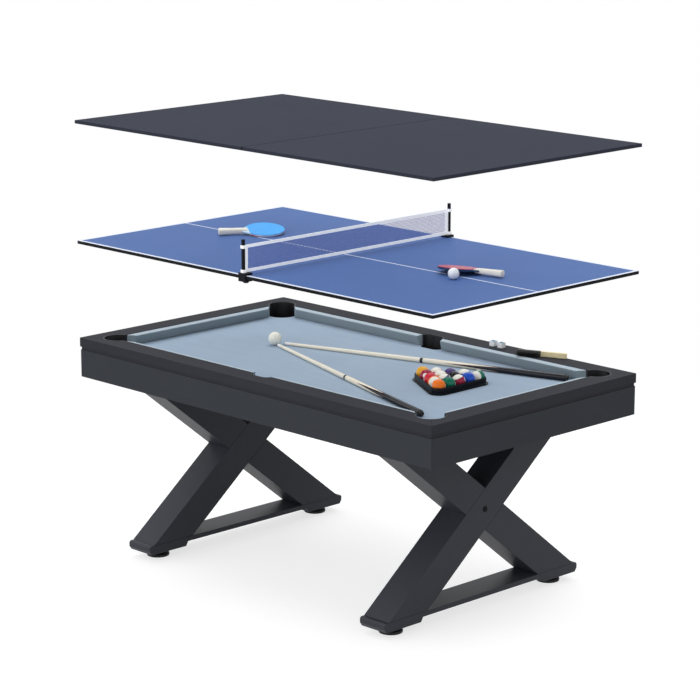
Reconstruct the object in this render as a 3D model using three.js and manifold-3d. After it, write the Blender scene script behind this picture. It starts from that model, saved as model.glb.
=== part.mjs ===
// Multi game table: a pool table on two X legs, with a tennis top and a dining top lifted off above it.
// Millimetres, +X along the table, +Y across it, +Z up. The origin is on the floor under the table's centre.
import * as THREE from "three";
import { mergeGeometries, mergeVertices } from "three/addons/utils/BufferGeometryUtils.js";
import Module from "manifold-3d";

const wasm = await Module();
wasm.setup();

// Overall sizes
const tableLength = 1830;
const tableWidth = 1047;
const railTopHeight = 810;

// Clearances
const seatGap = 0.3;
const cutOverrun = 10;

// Rails
const railThickness = 34.5;
const railWidth = 87;
const railGrooveDepth = 4.5;
const railEdgeChamfer = 1.5;

// Aprons
const apronInset = 2;
const apronThickness = 18;
const apronTopDrop = 46;
const apronHeight = 104.5;
const apronEdgeChamfer = 2;

// Playfield
const clothDrop = 42;
const clothThickness = 2;
const bedThickness = 18;

// Cushions
const cushionTopDrop = 1;
const cushionNoseDrop = 4.5;
const cushionNoseThickness = 7;
const cushionWidth = 24;
const cushionFootWidth = 12;
const cushionEndGap = 2;
const cornerJawAngle = THREE.MathUtils.degToRad(38);
const middleJawAngle = THREE.MathUtils.degToRad(72);

// Pockets
const cornerPocketDiameter = 110;
const cornerPocketInset = 14.6;
const middlePocketLength = 100;
const middlePocketWidth = 54;
const middlePocketScallop = 24.5;
const pocketWall = 3.5;
const pocketFloor = 4;
const pocketDepth = 80;
const pocketLipDrop = 0.5;

// X legs
const legInset = 298.5;
const beamSize = 120;
const beamAngle = THREE.MathUtils.degToRad(38.5);
const crossingRise = 6.25;
const baseBarThickness = 18;
const shoeHeight = 35;
const shoeLength = 190;
const shoeOverhang = 20;
const shoeChamfer = 6;
const shoeToeRun = 10;
const shoeToeRise = 14;
const shoeStepRun = 10;

// Centre bolts
const boltHeadRadius = 11;
const boltHeadHeight = 4;
const boltHeadChamfer = 1.5;
const boltShankRadius = 5;
const boltShankLength = 95;

// Levelling feet
const footHeight = 27;
const footDiscRadius = 42.5;
const footDiscHeight = 12;
const footDiscEdge = 3;
const footNeckRadius = 13;
const footStemRadius = 6;
const footStemCover = 8;
const footInset = 91;

// Tennis top and dining top
const tennisTopThickness = 12.5;
const diningTopThickness = 12.5;
const tennisTopLift = 358;
const diningTopLift = 438;

// Net posts and clamps
const netPostSize = 10;
const netPostHeight = 118;
const netPostInset = 3.5;
const clampWidth = 36;
const clampReach = 30;
const clampPlate = 8;
const clampSpine = 5;
const clampJawDrop = 6;
const clampJawThickness = 4;

// Clamp screws
const screwReach = 15;
const screwShankRadius = 3.2;
const screwPadRadius = 7;
const screwPadThickness = 2;
const screwKnobRadius = 10;
const screwKnobHeight = 5;
const screwKnobGap = 1.5;

// Net
const netHeight = 97;
const netThickness = 1.6;
const netTapeWidth = 11;
const netTapeThickness = 3;
const netCordWidth = 2;
const netLoopWall = 1.6;
const netLoopGap = 0.5;
const netColumns = 52;
const netRows = 4;

// Balls and rack
const ballDiameter = 50.8;
const ballOverlap = 0.5;
const ballRows = 5;
const rackClearance = 1;
const rackWall = 4;
const rackWallHeight = 25;
const rackLipWidth = 7;
const rackLipHeight = 5;
const rackFromEnd = 262;
const rackOffCentre = 33;

// Cues
const cueLength = 1180;
const cueTipRadius = 6;
const cueTipLength = 12;
const cueRingRadius = 9;
const cueButtRadius = 12;
const cueBumperLength = 12;
const cueBumperRadius = 9;
const cueButtFromEnd = 100;
const nearCueFromSide = 62;
const farCueFromSide = 24;
const nearCueTipOffCentre = 27;
const cueBallGap = 2;
const farCueTipAhead = 21;
const farCueTipAside = 26;

// Chalks
const chalkSize = 22;
const chalkEdge = 2;
const chalkDimpleDepth = 2;
const chalkDimpleRadius = 18;
const chalkFromRailEdge = 37;
const firstChalkFromCentre = 275;
const chalkSpacing = 40;

// Brush
const brushHeight = 20;
const brushDepth = 14;
const brushBlockLength = 90;
const brushHandleLength = 98;
const brushHandleDepth = 12;
const brushEdge = 3;
const brushBackingThickness = 2;
const bristleLength = 20;
const bristleRadius = 0.75;
const bristleMargin = 2;
const bristleColumns = 25;
const bristleRows = 12;
const bristleSides = 3;
const brushFromCentre = 427.5;
const brushFromRailEdge = -2;
const brushHeading = THREE.MathUtils.degToRad(23);

// Paddles
const bladeRadius = 75;
const bladeThickness = 9;
const throatReach = 88;
const throatHalfWidth = 17;
const shoulderAngle = THREE.MathUtils.degToRad(15);
const handleStart = 62;
const handleEnd = 176;
const handleHalfWidth = 15;
const handleThickness = 24;
const handleEdge = 5;
const paddleRoll = THREE.MathUtils.degToRad(8);
const leftPaddlePlace = new THREE.Vector2(-525, 65);
const leftPaddleHeading = THREE.MathUtils.degToRad(57.6);
const rightPaddlePlace = new THREE.Vector2(497, 46);
const rightPaddleHeading = THREE.MathUtils.degToRad(192.9);

// Tennis ball
const tennisBallDiameter = 40;
const tennisBallPlace = new THREE.Vector2(562, -51);

// Facets of round shapes
const pocketArcSteps = 12;
const smallRoundSteps = 16;
const footDiscSteps = 24;
const cueSteps = 10;
const rackedBallSteps = 12;
const looseBallSteps = 18;
const bladeArcSteps = 16;
const rackArcSteps = 5;

// Levels and places that follow from the sizes above
const halfLength = tableLength / 2;
const halfWidth = tableWidth / 2;
const railUnderside = railTopHeight - railThickness;
const apronTop = railTopHeight - apronTopDrop;
const apronBottom = apronTop - apronHeight;
const apronInner = apronInset + apronThickness;
const clothTop = railTopHeight - clothDrop;
const bedTop = clothTop - clothThickness - seatGap;
const bedBottom = bedTop - bedThickness;
const playHalfLength = halfLength - railWidth - cushionWidth;
const playHalfWidth = halfWidth - railWidth - cushionWidth;
const cornerPocketCentre = railWidth + cornerPocketInset;
const middlePocketCentre = railWidth - middlePocketScallop + middlePocketWidth / 2;
const pocketBottom = clothTop - pocketDepth;
const legCentre = halfLength - legInset;
const baseTop = footHeight + shoeHeight;
const baseBarBottom = baseTop - baseBarThickness;
const crossingHeight = (baseTop + apronBottom) / 2 + crossingRise;
const tennisBottom = railTopHeight + tennisTopLift;
const tennisTop = tennisBottom + tennisTopThickness;
const diningBottom = tennisTop + diningTopLift;
const clampTop = tennisTop + seatGap + clampPlate;
const clampJawTop = tennisBottom - clampJawDrop;
const clampJawBottom = clampJawTop - clampJawThickness;
const ballRadius = ballDiameter / 2;
const tennisBallRadius = tennisBallDiameter / 2;

// Materials, one for each finish
function finish(color, roughness, metalness = 0) {
  return new THREE.MeshStandardMaterial({ color, roughness, metalness });
}

const charcoalBoard = finish(0x46464c, 0.55);
const darkBoard = finish(0x3c3c40, 0.55);
const blackPlastic = finish(0x17171a, 0.4);
const blackSteel = finish(0x202022, 0.35, 0.8);
const billiardCloth = finish(0xa0b2c8, 0.95);
const cushionCloth = finish(0x8a9aa6, 0.95);
const diningBoard = finish(0x44444a, 0.6);
const tennisBoard = finish(0x4f69ae, 0.5);
const whiteNet = finish(0xe6e8f2, 0.85);
const cueWood = finish(0xe4d2ae, 0.3);
const brushWood = finish(0xe0cf9c, 0.5);
const blackBristle = finish(0x121212, 0.8);
const whiteResin = finish(0xf0efe4, 0.15);
const rackedResin = finish(0xc8602c, 0.15);
const chalkPaper = finish(0xd8e0f0, 0.9);
const bluePaddle = finish(0x58b8ee, 0.6);
const redPaddle = finish(0xc43c50, 0.6);
const whiteCelluloid = finish(0xf4f6fa, 0.5);

const model = new THREE.Group();

function addPart(parent, name, geometry, material) {
  const mesh = new THREE.Mesh(geometry, material);
  mesh.name = name;
  parent.add(mesh);
  return mesh;
}

// A closed solid from a geometry whose shared corners are merged
function solidFrom(geometry) {
  const shell = geometry.clone();
  shell.deleteAttribute("normal");
  shell.deleteAttribute("uv");
  const merged = mergeVertices(shell);
  const mesh = new wasm.Mesh({
    numProp: 3,
    vertProperties: new Float32Array(merged.getAttribute("position").array),
    triVerts: new Uint32Array(merged.index.array),
  });
  return new wasm.Manifold(mesh);
}

function geometryFrom(solid) {
  const mesh = solid.getMesh();
  const geometry = new THREE.BufferGeometry();
  geometry.setAttribute("position", new THREE.BufferAttribute(mesh.vertProperties, 3));
  geometry.setIndex(new THREE.BufferAttribute(mesh.triVerts, 1));
  geometry.computeVertexNormals();
  return geometry;
}

function joined(...geometries) {
  return geometryFrom(geometries.map(solidFrom).reduce((sum, next) => sum.add(next)));
}

function cut(geometry, ...cutters) {
  const whole = solidFrom(geometry);
  return geometryFrom(cutters.map(solidFrom).reduce((rest, next) => rest.subtract(next), whole));
}

const point = (x, y) => new THREE.Vector2(x, y);
const outline = (points) => new THREE.Shape(points);

// A plan outline raised from one height to another
function raised(shape, bottom, top, curveSegments = pocketArcSteps) {
  const depth = top - bottom;
  const geometry = new THREE.ExtrudeGeometry(shape, { depth, bevelEnabled: false, curveSegments });
  return geometry.translate(0, 0, bottom);
}

// An outline of y and z, drawn out along x about its middle
function drawnAcross(shape, width) {
  const geometry = new THREE.ExtrudeGeometry(shape, { depth: width, bevelEnabled: false });
  const axes = [new THREE.Vector3(0, 1, 0), new THREE.Vector3(0, 0, 1), new THREE.Vector3(1, 0, 0)];
  geometry.translate(0, 0, -width / 2);
  return geometry.applyMatrix4(new THREE.Matrix4().makeBasis(...axes));
}

// A section of inward distance and height, run along x between two slanted ends.
// Each end draws in by its slope times the inward distance.
function slantedRun(section, start, startSlope, end, endSlope) {
  const geometry = new THREE.ExtrudeGeometry(outline(section), { depth: 1, bevelEnabled: false });
  const corners = geometry.getAttribute("position");
  for (let i = 0; i < corners.count; i += 1) {
    const inward = corners.getX(i);
    const height = corners.getY(i);
    const along = corners.getZ(i) < 0.5 ? start + startSlope * inward : end - endSlope * inward;
    corners.setXYZ(i, along, inward, height);
  }
  geometry.computeVertexNormals();
  return geometry;
}

function block(xSize, ySize, zSize, x, y, z) {
  return new THREE.BoxGeometry(xSize, ySize, zSize).translate(x, y, z);
}

// A turned solid about the z axis, from points of radius and height that run from the top down to the bottom
function turned(profile, steps = smallRoundSteps) {
  return new THREE.LatheGeometry(profile.reverse(), steps).rotateX(Math.PI / 2);
}

function rectangle(length, width) {
  const x = length / 2;
  const y = width / 2;
  return outline([point(-x, -y), point(x, -y), point(x, y), point(-x, y)]);
}

function chamferedRectangle(length, width, chamfer) {
  const x = length / 2;
  const y = width / 2;
  return outline([
    point(chamfer - x, -y),
    point(x - chamfer, -y),
    point(x, chamfer - y),
    point(x, y - chamfer),
    point(x - chamfer, y),
    point(chamfer - x, y),
    point(-x, y - chamfer),
    point(-x, chamfer - y),
  ]);
}

function disc(radius) {
  const shape = new THREE.Shape();
  shape.absarc(0, 0, radius, 0, 2 * Math.PI);
  return shape;
}

function stadium(length, width) {
  const reach = (length - width) / 2;
  const shape = new THREE.Shape();
  shape.absarc(reach, 0, width / 2, -Math.PI / 2, Math.PI / 2);
  shape.absarc(-reach, 0, width / 2, Math.PI / 2, (3 * Math.PI) / 2);
  return shape;
}

// The four sides of the table: each side's group has +x along the side and +y inwards from its outer face
const sides = {
  near: { turn: 0, away: halfWidth, half: halfLength, middle: true },
  right: { turn: Math.PI / 2, away: halfLength, half: halfWidth, middle: false },
  far: { turn: Math.PI, away: halfWidth, half: halfLength, middle: true },
  left: { turn: -Math.PI / 2, away: halfLength, half: halfWidth, middle: false },
};

for (const side of Object.values(sides)) {
  side.group = new THREE.Group();
  side.group.rotation.z = side.turn;
  side.group.position.set(side.away * Math.sin(side.turn), -side.away * Math.cos(side.turn), 0);
  model.add(side.group);
}

// The cutters that leave room for the pockets along one side
function pocketCutters(half, middle, bottom, top) {
  const cornerShape = disc(cornerPocketDiameter / 2 + seatGap);
  const cutters = [-1, 1].map((end) =>
    raised(cornerShape, bottom, top).translate(end * (half - cornerPocketCentre), cornerPocketCentre, 0),
  );
  if (middle) {
    const middleShape = stadium(middlePocketLength + 2 * seatGap, middlePocketWidth + 2 * seatGap);
    cutters.push(raised(middleShape, bottom, top).translate(0, middlePocketCentre, 0));
  }
  return cutters;
}

// The rail's inner part reaches down to the apron, so a shadow groove stays between their outer faces
function railSection() {
  const top = railTopHeight;
  const innerBottom = clothTop + seatGap;
  return [
    point(0, railUnderside),
    point(railGrooveDepth, railUnderside),
    point(railGrooveDepth, apronTop + seatGap),
    point(apronInner, apronTop + seatGap),
    point(apronInner, innerBottom),
    point(railWidth, innerBottom),
    point(railWidth, top - railEdgeChamfer),
    point(railWidth - railEdgeChamfer, top),
    point(railEdgeChamfer, top),
    point(0, top - railEdgeChamfer),
  ];
}

function apronSection() {
  return [
    point(apronInset, apronBottom),
    point(apronInner, apronBottom),
    point(apronInner, apronTop),
    point(apronInset + apronEdgeChamfer, apronTop),
    point(apronInset, apronTop - apronEdgeChamfer),
  ];
}

function cushionSection() {
  const bottom = clothTop + seatGap;
  const noseTop = railTopHeight - cushionNoseDrop;
  return [
    point(seatGap, bottom),
    point(cushionFootWidth, bottom),
    point(cushionWidth, noseTop - cushionNoseThickness),
    point(cushionWidth, noseTop),
    point(seatGap, railTopHeight - cushionTopDrop),
  ];
}

function addRailsAndAprons() {
  for (const [name, side] of Object.entries(sides)) {
    const end = side.half - seatGap;
    const rail = slantedRun(railSection(), -end, 1, end, 1);
    const cutters = pocketCutters(side.half, side.middle, clothTop - cutOverrun, railTopHeight + cutOverrun);
    addPart(side.group, `${name}_rail`, cut(rail, ...cutters), charcoalBoard);
    addPart(side.group, `${name}_apron`, slantedRun(apronSection(), -end, 1, end, 1), darkBoard);
  }
}

// Cushions stop short of the pockets with slanted jaws
function addCushions() {
  const cornerRadius = cornerPocketDiameter / 2;
  const mouthReach = Math.sqrt(cornerRadius ** 2 - cornerPocketInset ** 2);
  const cornerSlope = 1 / Math.tan(cornerJawAngle);
  const middleSlope = 1 / Math.tan(middleJawAngle);
  const middleEnd = middlePocketLength / 2 + cushionEndGap;
  for (const [name, side] of Object.entries(sides)) {
    const cornerEnd = side.half - cornerPocketCentre - mouthReach - cushionEndGap;
    const addCushion = (part, ...run) => {
      const geometry = slantedRun(cushionSection(), ...run);
      addPart(side.group, part, geometry.translate(0, railWidth, 0), cushionCloth);
    };
    if (side.middle) {
      addCushion(`${name}_cushion_a`, -cornerEnd, cornerSlope, -middleEnd, middleSlope);
      addCushion(`${name}_cushion_b`, middleEnd, middleSlope, cornerEnd, cornerSlope);
    } else {
      addCushion(`${name}_cushion`, -cornerEnd, cornerSlope, cornerEnd, cornerSlope);
    }
  }
}

// A cup with an open top, whose liner rises to the rail's top where the keep-out box does not cut it
function pocketCup(outer, inner, playfieldBox) {
  const top = railTopHeight - pocketLipDrop;
  const cup = raised(outer, pocketBottom, top);
  const hollow = raised(inner, pocketBottom + pocketFloor, top + cutOverrun);
  return cut(cup, hollow, playfieldBox);
}

function addPockets() {
  const radius = cornerPocketDiameter / 2;
  const reach = radius + cutOverrun;
  const rise = railTopHeight - clothTop + cutOverrun;
  const size = reach + cornerPocketInset;
  const middle = cornerPocketInset - size / 2;
  const cornerBox = block(size, size, rise, middle, middle, clothTop + rise / 2);
  const cornerCup = pocketCup(disc(radius), disc(radius - pocketWall), cornerBox);
  const corners = [
    { name: "far_right_pocket", x: 1, y: 1, turn: 0 },
    { name: "far_left_pocket", x: -1, y: 1, turn: Math.PI / 2 },
    { name: "near_left_pocket", x: -1, y: -1, turn: Math.PI },
    { name: "near_right_pocket", x: 1, y: -1, turn: -Math.PI / 2 },
  ];
  for (const corner of corners) {
    const cup = addPart(model, corner.name, cornerCup.clone(), blackPlastic);
    cup.rotation.z = corner.turn;
    cup.position.x = corner.x * (halfLength - cornerPocketCentre);
    cup.position.y = corner.y * (halfWidth - cornerPocketCentre);
  }

  const boxLength = middlePocketLength + cutOverrun;
  const boxWidth = middlePocketWidth + cutOverrun;
  const boxMiddle = railWidth - middlePocketCentre + boxWidth / 2;
  const middleBox = block(boxLength, boxWidth, rise, 0, boxMiddle, clothTop + rise / 2);
  const outer = stadium(middlePocketLength, middlePocketWidth);
  const inner = stadium(middlePocketLength - 2 * pocketWall, middlePocketWidth - 2 * pocketWall);
  const middleCup = pocketCup(outer, inner, middleBox);
  for (const name of ["near", "far"]) {
    const cup = addPart(sides[name].group, `${name}_middle_pocket`, middleCup.clone(), blackPlastic);
    cup.position.y = middlePocketCentre;
  }
}

// The bed and its cloth fill the inside of the aprons, with a hole for each pocket
function addPlayfield() {
  const length = tableLength - 2 * (apronInner + seatGap);
  const width = tableWidth - 2 * (apronInner + seatGap);
  const layers = [
    { name: "playfield_bed", bottom: bedBottom, top: bedTop, material: darkBoard },
    { name: "playfield_cloth", bottom: clothTop - clothThickness, top: clothTop, material: billiardCloth },
  ];
  for (const layer of layers) {
    const near = pocketCutters(halfLength, true, layer.bottom - cutOverrun, layer.top + cutOverrun);
    const cutters = near.flatMap((cutter) => {
      const shifted = cutter.translate(0, -halfWidth, 0);
      return [shifted, shifted.clone().rotateZ(Math.PI)];
    });
    const board = raised(rectangle(length, width), layer.bottom, layer.top);
    addPart(model, layer.name, cut(board, ...cutters), layer.material);
  }
}

// Places on the beams are worked out from the crossing's centre. m is the distance across the half beams
// and n the distance across the through beam.
function acrossBoth(m, n) {
  return point((m - n) / (2 * Math.sin(beamAngle)), (m + n) / (2 * Math.cos(beamAngle)));
}

function halfBeamAtHeight(m, height) {
  return point((m - height * Math.cos(beamAngle)) / Math.sin(beamAngle), height);
}

function throughBeamOutline(bottom, top) {
  const halfCut = beamSize / 2 / Math.sin(beamAngle);
  const lower = bottom / Math.tan(beamAngle);
  const upper = top / Math.tan(beamAngle);
  return outline([
    point(lower - halfCut, bottom),
    point(lower + halfCut, bottom),
    point(upper + halfCut, top),
    point(upper - halfCut, top),
  ]);
}

function halfBeamOutline(side, endHeight) {
  const half = beamSize / 2;
  const butt = side * (half + seatGap);
  return outline([
    acrossBoth(half, butt),
    acrossBoth(-half, butt),
    halfBeamAtHeight(-half, endHeight),
    halfBeamAtHeight(half, endHeight),
  ]);
}

// Half of the base's outline, from the middle out to the shoe's toe
function baseHalf(sign, shoeOuter) {
  const shoeInner = shoeOuter - shoeLength;
  return [
    point(sign * shoeInner, baseBarBottom),
    point(sign * (shoeInner + shoeStepRun), footHeight),
    point(sign * (shoeOuter - shoeToeRun), footHeight),
    point(sign * shoeOuter, footHeight + shoeToeRise),
    point(sign * shoeOuter, baseTop - shoeChamfer),
    point(sign * (shoeOuter - shoeChamfer), baseTop),
  ];
}

function levellingFoot() {
  const stemTop = baseTop - footStemCover;
  return turned([
    point(0, stemTop),
    point(footStemRadius, stemTop),
    point(footStemRadius, footHeight - seatGap),
    point(footNeckRadius, footHeight - seatGap),
    point(footNeckRadius, footDiscHeight),
    point(footDiscRadius - footDiscEdge, footDiscHeight),
    point(footDiscRadius, footDiscHeight - footDiscEdge),
    point(footDiscRadius, 0),
    point(0, 0),
  ], footDiscSteps);
}

function centreBolt() {
  return turned([
    point(0, boltHeadHeight),
    point(boltHeadRadius - boltHeadChamfer, boltHeadHeight),
    point(boltHeadRadius, boltHeadHeight - boltHeadChamfer),
    point(boltHeadRadius, seatGap),
    point(boltShankRadius, seatGap),
    point(boltShankRadius, -boltShankLength),
    point(0, -boltShankLength),
  ]);
}

function addLeg(name, side) {
  const leg = new THREE.Group();
  leg.position.x = side * legCentre;
  model.add(leg);

  const bottom = baseTop + seatGap - crossingHeight;
  const top = apronBottom - seatGap - crossingHeight;
  const through = drawnAcross(throughBeamOutline(bottom, top), beamSize);
  const boltBore = new THREE.CylinderGeometry(
    boltShankRadius + seatGap,
    boltShankRadius + seatGap,
    beamSize + cutOverrun,
    smallRoundSteps,
  ).rotateZ(Math.PI / 2);
  const beams = [
    { part: "through_beam", geometry: cut(through, boltBore) },
    { part: "upper_beam", geometry: drawnAcross(halfBeamOutline(1, top), beamSize) },
    { part: "lower_beam", geometry: drawnAcross(halfBeamOutline(-1, bottom), beamSize) },
  ];
  for (const beam of beams) {
    addPart(leg, `${name}_leg_${beam.part}`, beam.geometry, charcoalBoard).position.z = crossingHeight;
  }

  const bolt = addPart(leg, `${name}_leg_bolt`, centreBolt(), blackSteel);
  bolt.rotation.y = (side * Math.PI) / 2;
  bolt.position.set((side * beamSize) / 2, 0, crossingHeight);

  const barHeight = bedBottom - seatGap - apronBottom;
  const barLength = tableWidth - 2 * (apronInner + seatGap);
  const topBar = block(beamSize, barLength, barHeight, 0, 0, apronBottom + barHeight / 2);
  addPart(leg, `${name}_leg_top_bar`, topBar, darkBoard);

  const beamFoot = (crossingHeight - baseTop) / Math.tan(beamAngle) + beamSize / 2 / Math.sin(beamAngle);
  const shoeOuter = beamFoot + shoeOverhang;
  const footReach = shoeOuter - footInset;
  const baseOutline = outline([...baseHalf(1, shoeOuter), ...baseHalf(-1, shoeOuter).reverse()]);
  const base = drawnAcross(baseOutline, beamSize);
  const stemBore = new THREE.CylinderGeometry(
    footStemRadius + seatGap,
    footStemRadius + seatGap,
    2 * (shoeHeight - footStemCover + seatGap),
    smallRoundSteps,
  ).rotateX(Math.PI / 2);
  const bores = [-1, 1].map((end) => stemBore.clone().translate(0, end * footReach, footHeight));
  addPart(leg, `${name}_leg_base`, cut(base, ...bores), charcoalBoard);
  addPart(leg, `${name}_near_foot`, levellingFoot(), blackPlastic).position.y = -footReach;
  addPart(leg, `${name}_far_foot`, levellingFoot(), blackPlastic).position.y = footReach;
}

// Each top is two boards that meet at a seam across the middle of the table
function addTops() {
  const boards = [
    { name: "tennis_top", bottom: tennisBottom, thickness: tennisTopThickness, material: tennisBoard },
    { name: "dining_top", bottom: diningBottom, thickness: diningTopThickness, material: diningBoard },
  ];
  const boardLength = halfLength - seatGap / 2;
  for (const board of boards) {
    for (const [half, side] of [["left", -1], ["right", 1]]) {
      const middle = side * (halfLength - boardLength / 2);
      const height = board.bottom + board.thickness / 2;
      const geometry = block(boardLength, tableWidth, board.thickness, middle, 0, height);
      addPart(model, `${board.name}_${half}`, geometry, board.material);
    }
  }
}

// A C-shaped clamp over the tennis top's edge with the net post on its upper plate
function netClamp() {
  const back = -seatGap - clampSpine;
  const jaws = drawnAcross(
    outline([
      point(back, clampJawBottom),
      point(clampReach, clampJawBottom),
      point(clampReach, clampJawTop),
      point(-seatGap, clampJawTop),
      point(-seatGap, tennisTop + seatGap),
      point(clampReach, tennisTop + seatGap),
      point(clampReach, clampTop),
      point(back, clampTop),
    ]),
    clampWidth,
  );
  const postFoot = clampTop - clampPlate / 2;
  const postTop = clampTop + netPostHeight;
  const post = block(netPostSize, netPostSize, postTop - postFoot, 0, netPostInset, (postTop + postFoot) / 2);
  const screwBore = new THREE.CylinderGeometry(
    screwShankRadius + seatGap,
    screwShankRadius + seatGap,
    clampJawThickness + cutOverrun,
    smallRoundSteps,
  ).rotateX(Math.PI / 2).translate(0, screwReach, (clampJawTop + clampJawBottom) / 2);
  return cut(joined(jaws, post), screwBore);
}

function clampScrew() {
  const padTop = tennisBottom - seatGap;
  const padBottom = padTop - screwPadThickness;
  const knobTop = clampJawBottom - screwKnobGap;
  const knobBottom = knobTop - screwKnobHeight;
  return turned([
    point(0, padTop),
    point(screwPadRadius, padTop),
    point(screwPadRadius, padBottom),
    point(screwShankRadius, padBottom),
    point(screwShankRadius, knobTop),
    point(screwKnobRadius, knobTop),
    point(screwKnobRadius, knobBottom),
    point(0, knobBottom),
  ]);
}

// A flat net of crossing cords, thicker tapes round it and a loop round each post at the top and bottom tapes
function netGeometry() {
  const loopHole = netPostSize + 2 * netLoopGap;
  const halfSpan = halfWidth - netPostInset - loopHole / 2;
  const bottom = clampTop + seatGap;
  const top = bottom + netHeight;
  const middle = (bottom + top) / 2;
  const meshLength = 2 * (halfSpan - netTapeWidth);
  const meshHeight = netHeight - 2 * netTapeWidth;

  const upright = block(netThickness, netCordWidth, meshHeight + netTapeWidth, 0, 0, middle);
  const uprights = [];
  for (let column = 1; column < netColumns; column += 1) {
    uprights.push(upright.clone().translate(0, (column / netColumns - 1 / 2) * meshLength, 0));
  }
  const level = block(netThickness, meshLength + netTapeWidth, netCordWidth, 0, 0, middle);
  const levels = [];
  for (let row = 1; row < netRows; row += 1) {
    levels.push(level.clone().translate(0, 0, (row / netRows - 1 / 2) * meshHeight));
  }

  const tapes = rectangle(2 * halfSpan, netHeight);
  tapes.holes.push(rectangle(meshLength, meshHeight));
  const frame = drawnAcross(tapes, netTapeThickness).translate(0, 0, middle);

  const loopOuter = loopHole + 2 * netLoopWall;
  const loop = rectangle(loopOuter, loopOuter);
  loop.holes.push(rectangle(loopHole, loopHole));
  const postPlace = halfWidth - netPostInset;
  const loops = [-1, 1].flatMap((end) => [
    raised(loop, bottom, bottom + netTapeWidth).translate(0, end * postPlace, 0),
    raised(loop, top - netTapeWidth, top).translate(0, end * postPlace, 0),
  ]);
  return joined(frame, mergeGeometries(uprights), mergeGeometries(levels), ...loops);
}

function addNet() {
  addPart(model, "tennis_net", netGeometry(), whiteNet);
  for (const name of ["near", "far"]) {
    addPart(sides[name].group, `${name}_net_clamp`, netClamp(), blackPlastic);
    addPart(sides[name].group, `${name}_clamp_screw`, clampScrew(), blackPlastic).position.y = screwReach;
  }
}

function sphere(radius, steps) {
  return new THREE.SphereGeometry(radius, steps, steps / 2).rotateX(Math.PI / 2);
}

// A triangle of three corner circles, drawn as their common outline, with one corner towards -x
function roundedTriangle(side, radius) {
  const shape = new THREE.Shape();
  const reach = side / Math.sqrt(3);
  for (let corner = 0; corner < 3; corner += 1) {
    const middle = Math.PI + (corner * 2 * Math.PI) / 3;
    const x = reach * Math.cos(middle);
    const y = reach * Math.sin(middle);
    shape.absarc(x, y, radius, middle - Math.PI / 3, middle + Math.PI / 3);
  }
  return shape;
}

function rackGeometry(side) {
  const innerRadius = ballRadius + rackClearance;
  const outerRadius = innerRadius + rackWall;
  const bottom = clothTop + seatGap;
  const wall = raised(roundedTriangle(side, outerRadius), bottom, bottom + rackWallHeight, rackArcSteps);
  const lipOutline = roundedTriangle(side, outerRadius + rackLipWidth);
  const lip = raised(lipOutline, bottom, bottom + rackLipHeight, rackArcSteps);
  const inside = raised(
    roundedTriangle(side, innerRadius),
    bottom - cutOverrun,
    bottom + rackWallHeight + cutOverrun,
    rackArcSteps,
  );
  return cut(joined(wall, lip), inside);
}

// Fifteen balls in a triangle, each just touching its neighbours
function rackedBalls(pitch) {
  const rowPitch = (pitch * Math.sqrt(3)) / 2;
  const firstRow = (-(ballRows - 1) * pitch) / Math.sqrt(3);
  const balls = [];
  for (let row = 0; row < ballRows; row += 1) {
    for (let place = 0; place <= row; place += 1) {
      const ball = sphere(ballRadius, rackedBallSteps);
      balls.push(ball.translate(firstRow + row * rowPitch, (place - row / 2) * pitch, 0));
    }
  }
  return joined(...balls);
}

function addRack() {
  const pitch = ballDiameter - ballOverlap;
  const side = (ballRows - 1) * pitch;
  const rack = new THREE.Group();
  const flatSide = side / (2 * Math.sqrt(3)) + ballRadius + rackClearance + rackWall;
  rack.position.set(playHalfLength - rackFromEnd - flatSide, rackOffCentre, 0);
  model.add(rack);
  addPart(rack, "ball_rack", rackGeometry(side), blackPlastic);
  addPart(rack, "racked_balls", rackedBalls(pitch), rackedResin).position.z = clothTop + seatGap + ballRadius;
}

// A cue along the z axis, butt down
function cueGeometry() {
  return turned([
    point(0, cueLength),
    point(cueTipRadius, cueLength),
    point(cueTipRadius, cueLength - cueTipLength),
    point(cueRingRadius, cueLength / 2),
    point(cueButtRadius, cueBumperLength),
    point(cueBumperRadius, 0),
    point(0, 0),
  ], cueSteps);
}

// A cue lies with its butt end and its tip both on the cloth
function layCue(name, butt, tip) {
  const from = new THREE.Vector3(butt.x, butt.y, clothTop + seatGap + cueButtRadius);
  const to = new THREE.Vector3(tip.x, tip.y, clothTop + seatGap + cueTipRadius);
  const cue = addPart(model, name, cueGeometry(), cueWood);
  cue.position.copy(from);
  cue.quaternion.setFromUnitVectors(new THREE.Vector3(0, 0, 1), to.sub(from).normalize());
}

function addCuesAndCueBall() {
  const nearButt = point(playHalfLength - cueButtFromEnd, nearCueFromSide - playHalfWidth);
  const nearRise = nearCueTipOffCentre - nearButt.y;
  const nearTip = point(nearButt.x - Math.sqrt(cueLength ** 2 - nearRise ** 2), nearCueTipOffCentre);
  layCue("near_cue", nearButt, nearTip);

  const ballPlace = nearTip.clone().sub(nearButt).setLength(ballRadius + cueBallGap).add(nearTip);
  const cueBall = addPart(model, "cue_ball", sphere(ballRadius, looseBallSteps), whiteResin);
  cueBall.position.set(ballPlace.x, ballPlace.y, clothTop + seatGap + ballRadius);

  const farTip = point(ballPlace.x + farCueTipAhead, ballPlace.y + farCueTipAside);
  const farRise = playHalfWidth - farCueFromSide - farTip.y;
  const farButt = point(farTip.x + Math.sqrt(cueLength ** 2 - farRise ** 2), farTip.y + farRise);
  layCue("far_cue", farButt, farTip);
}

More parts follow.
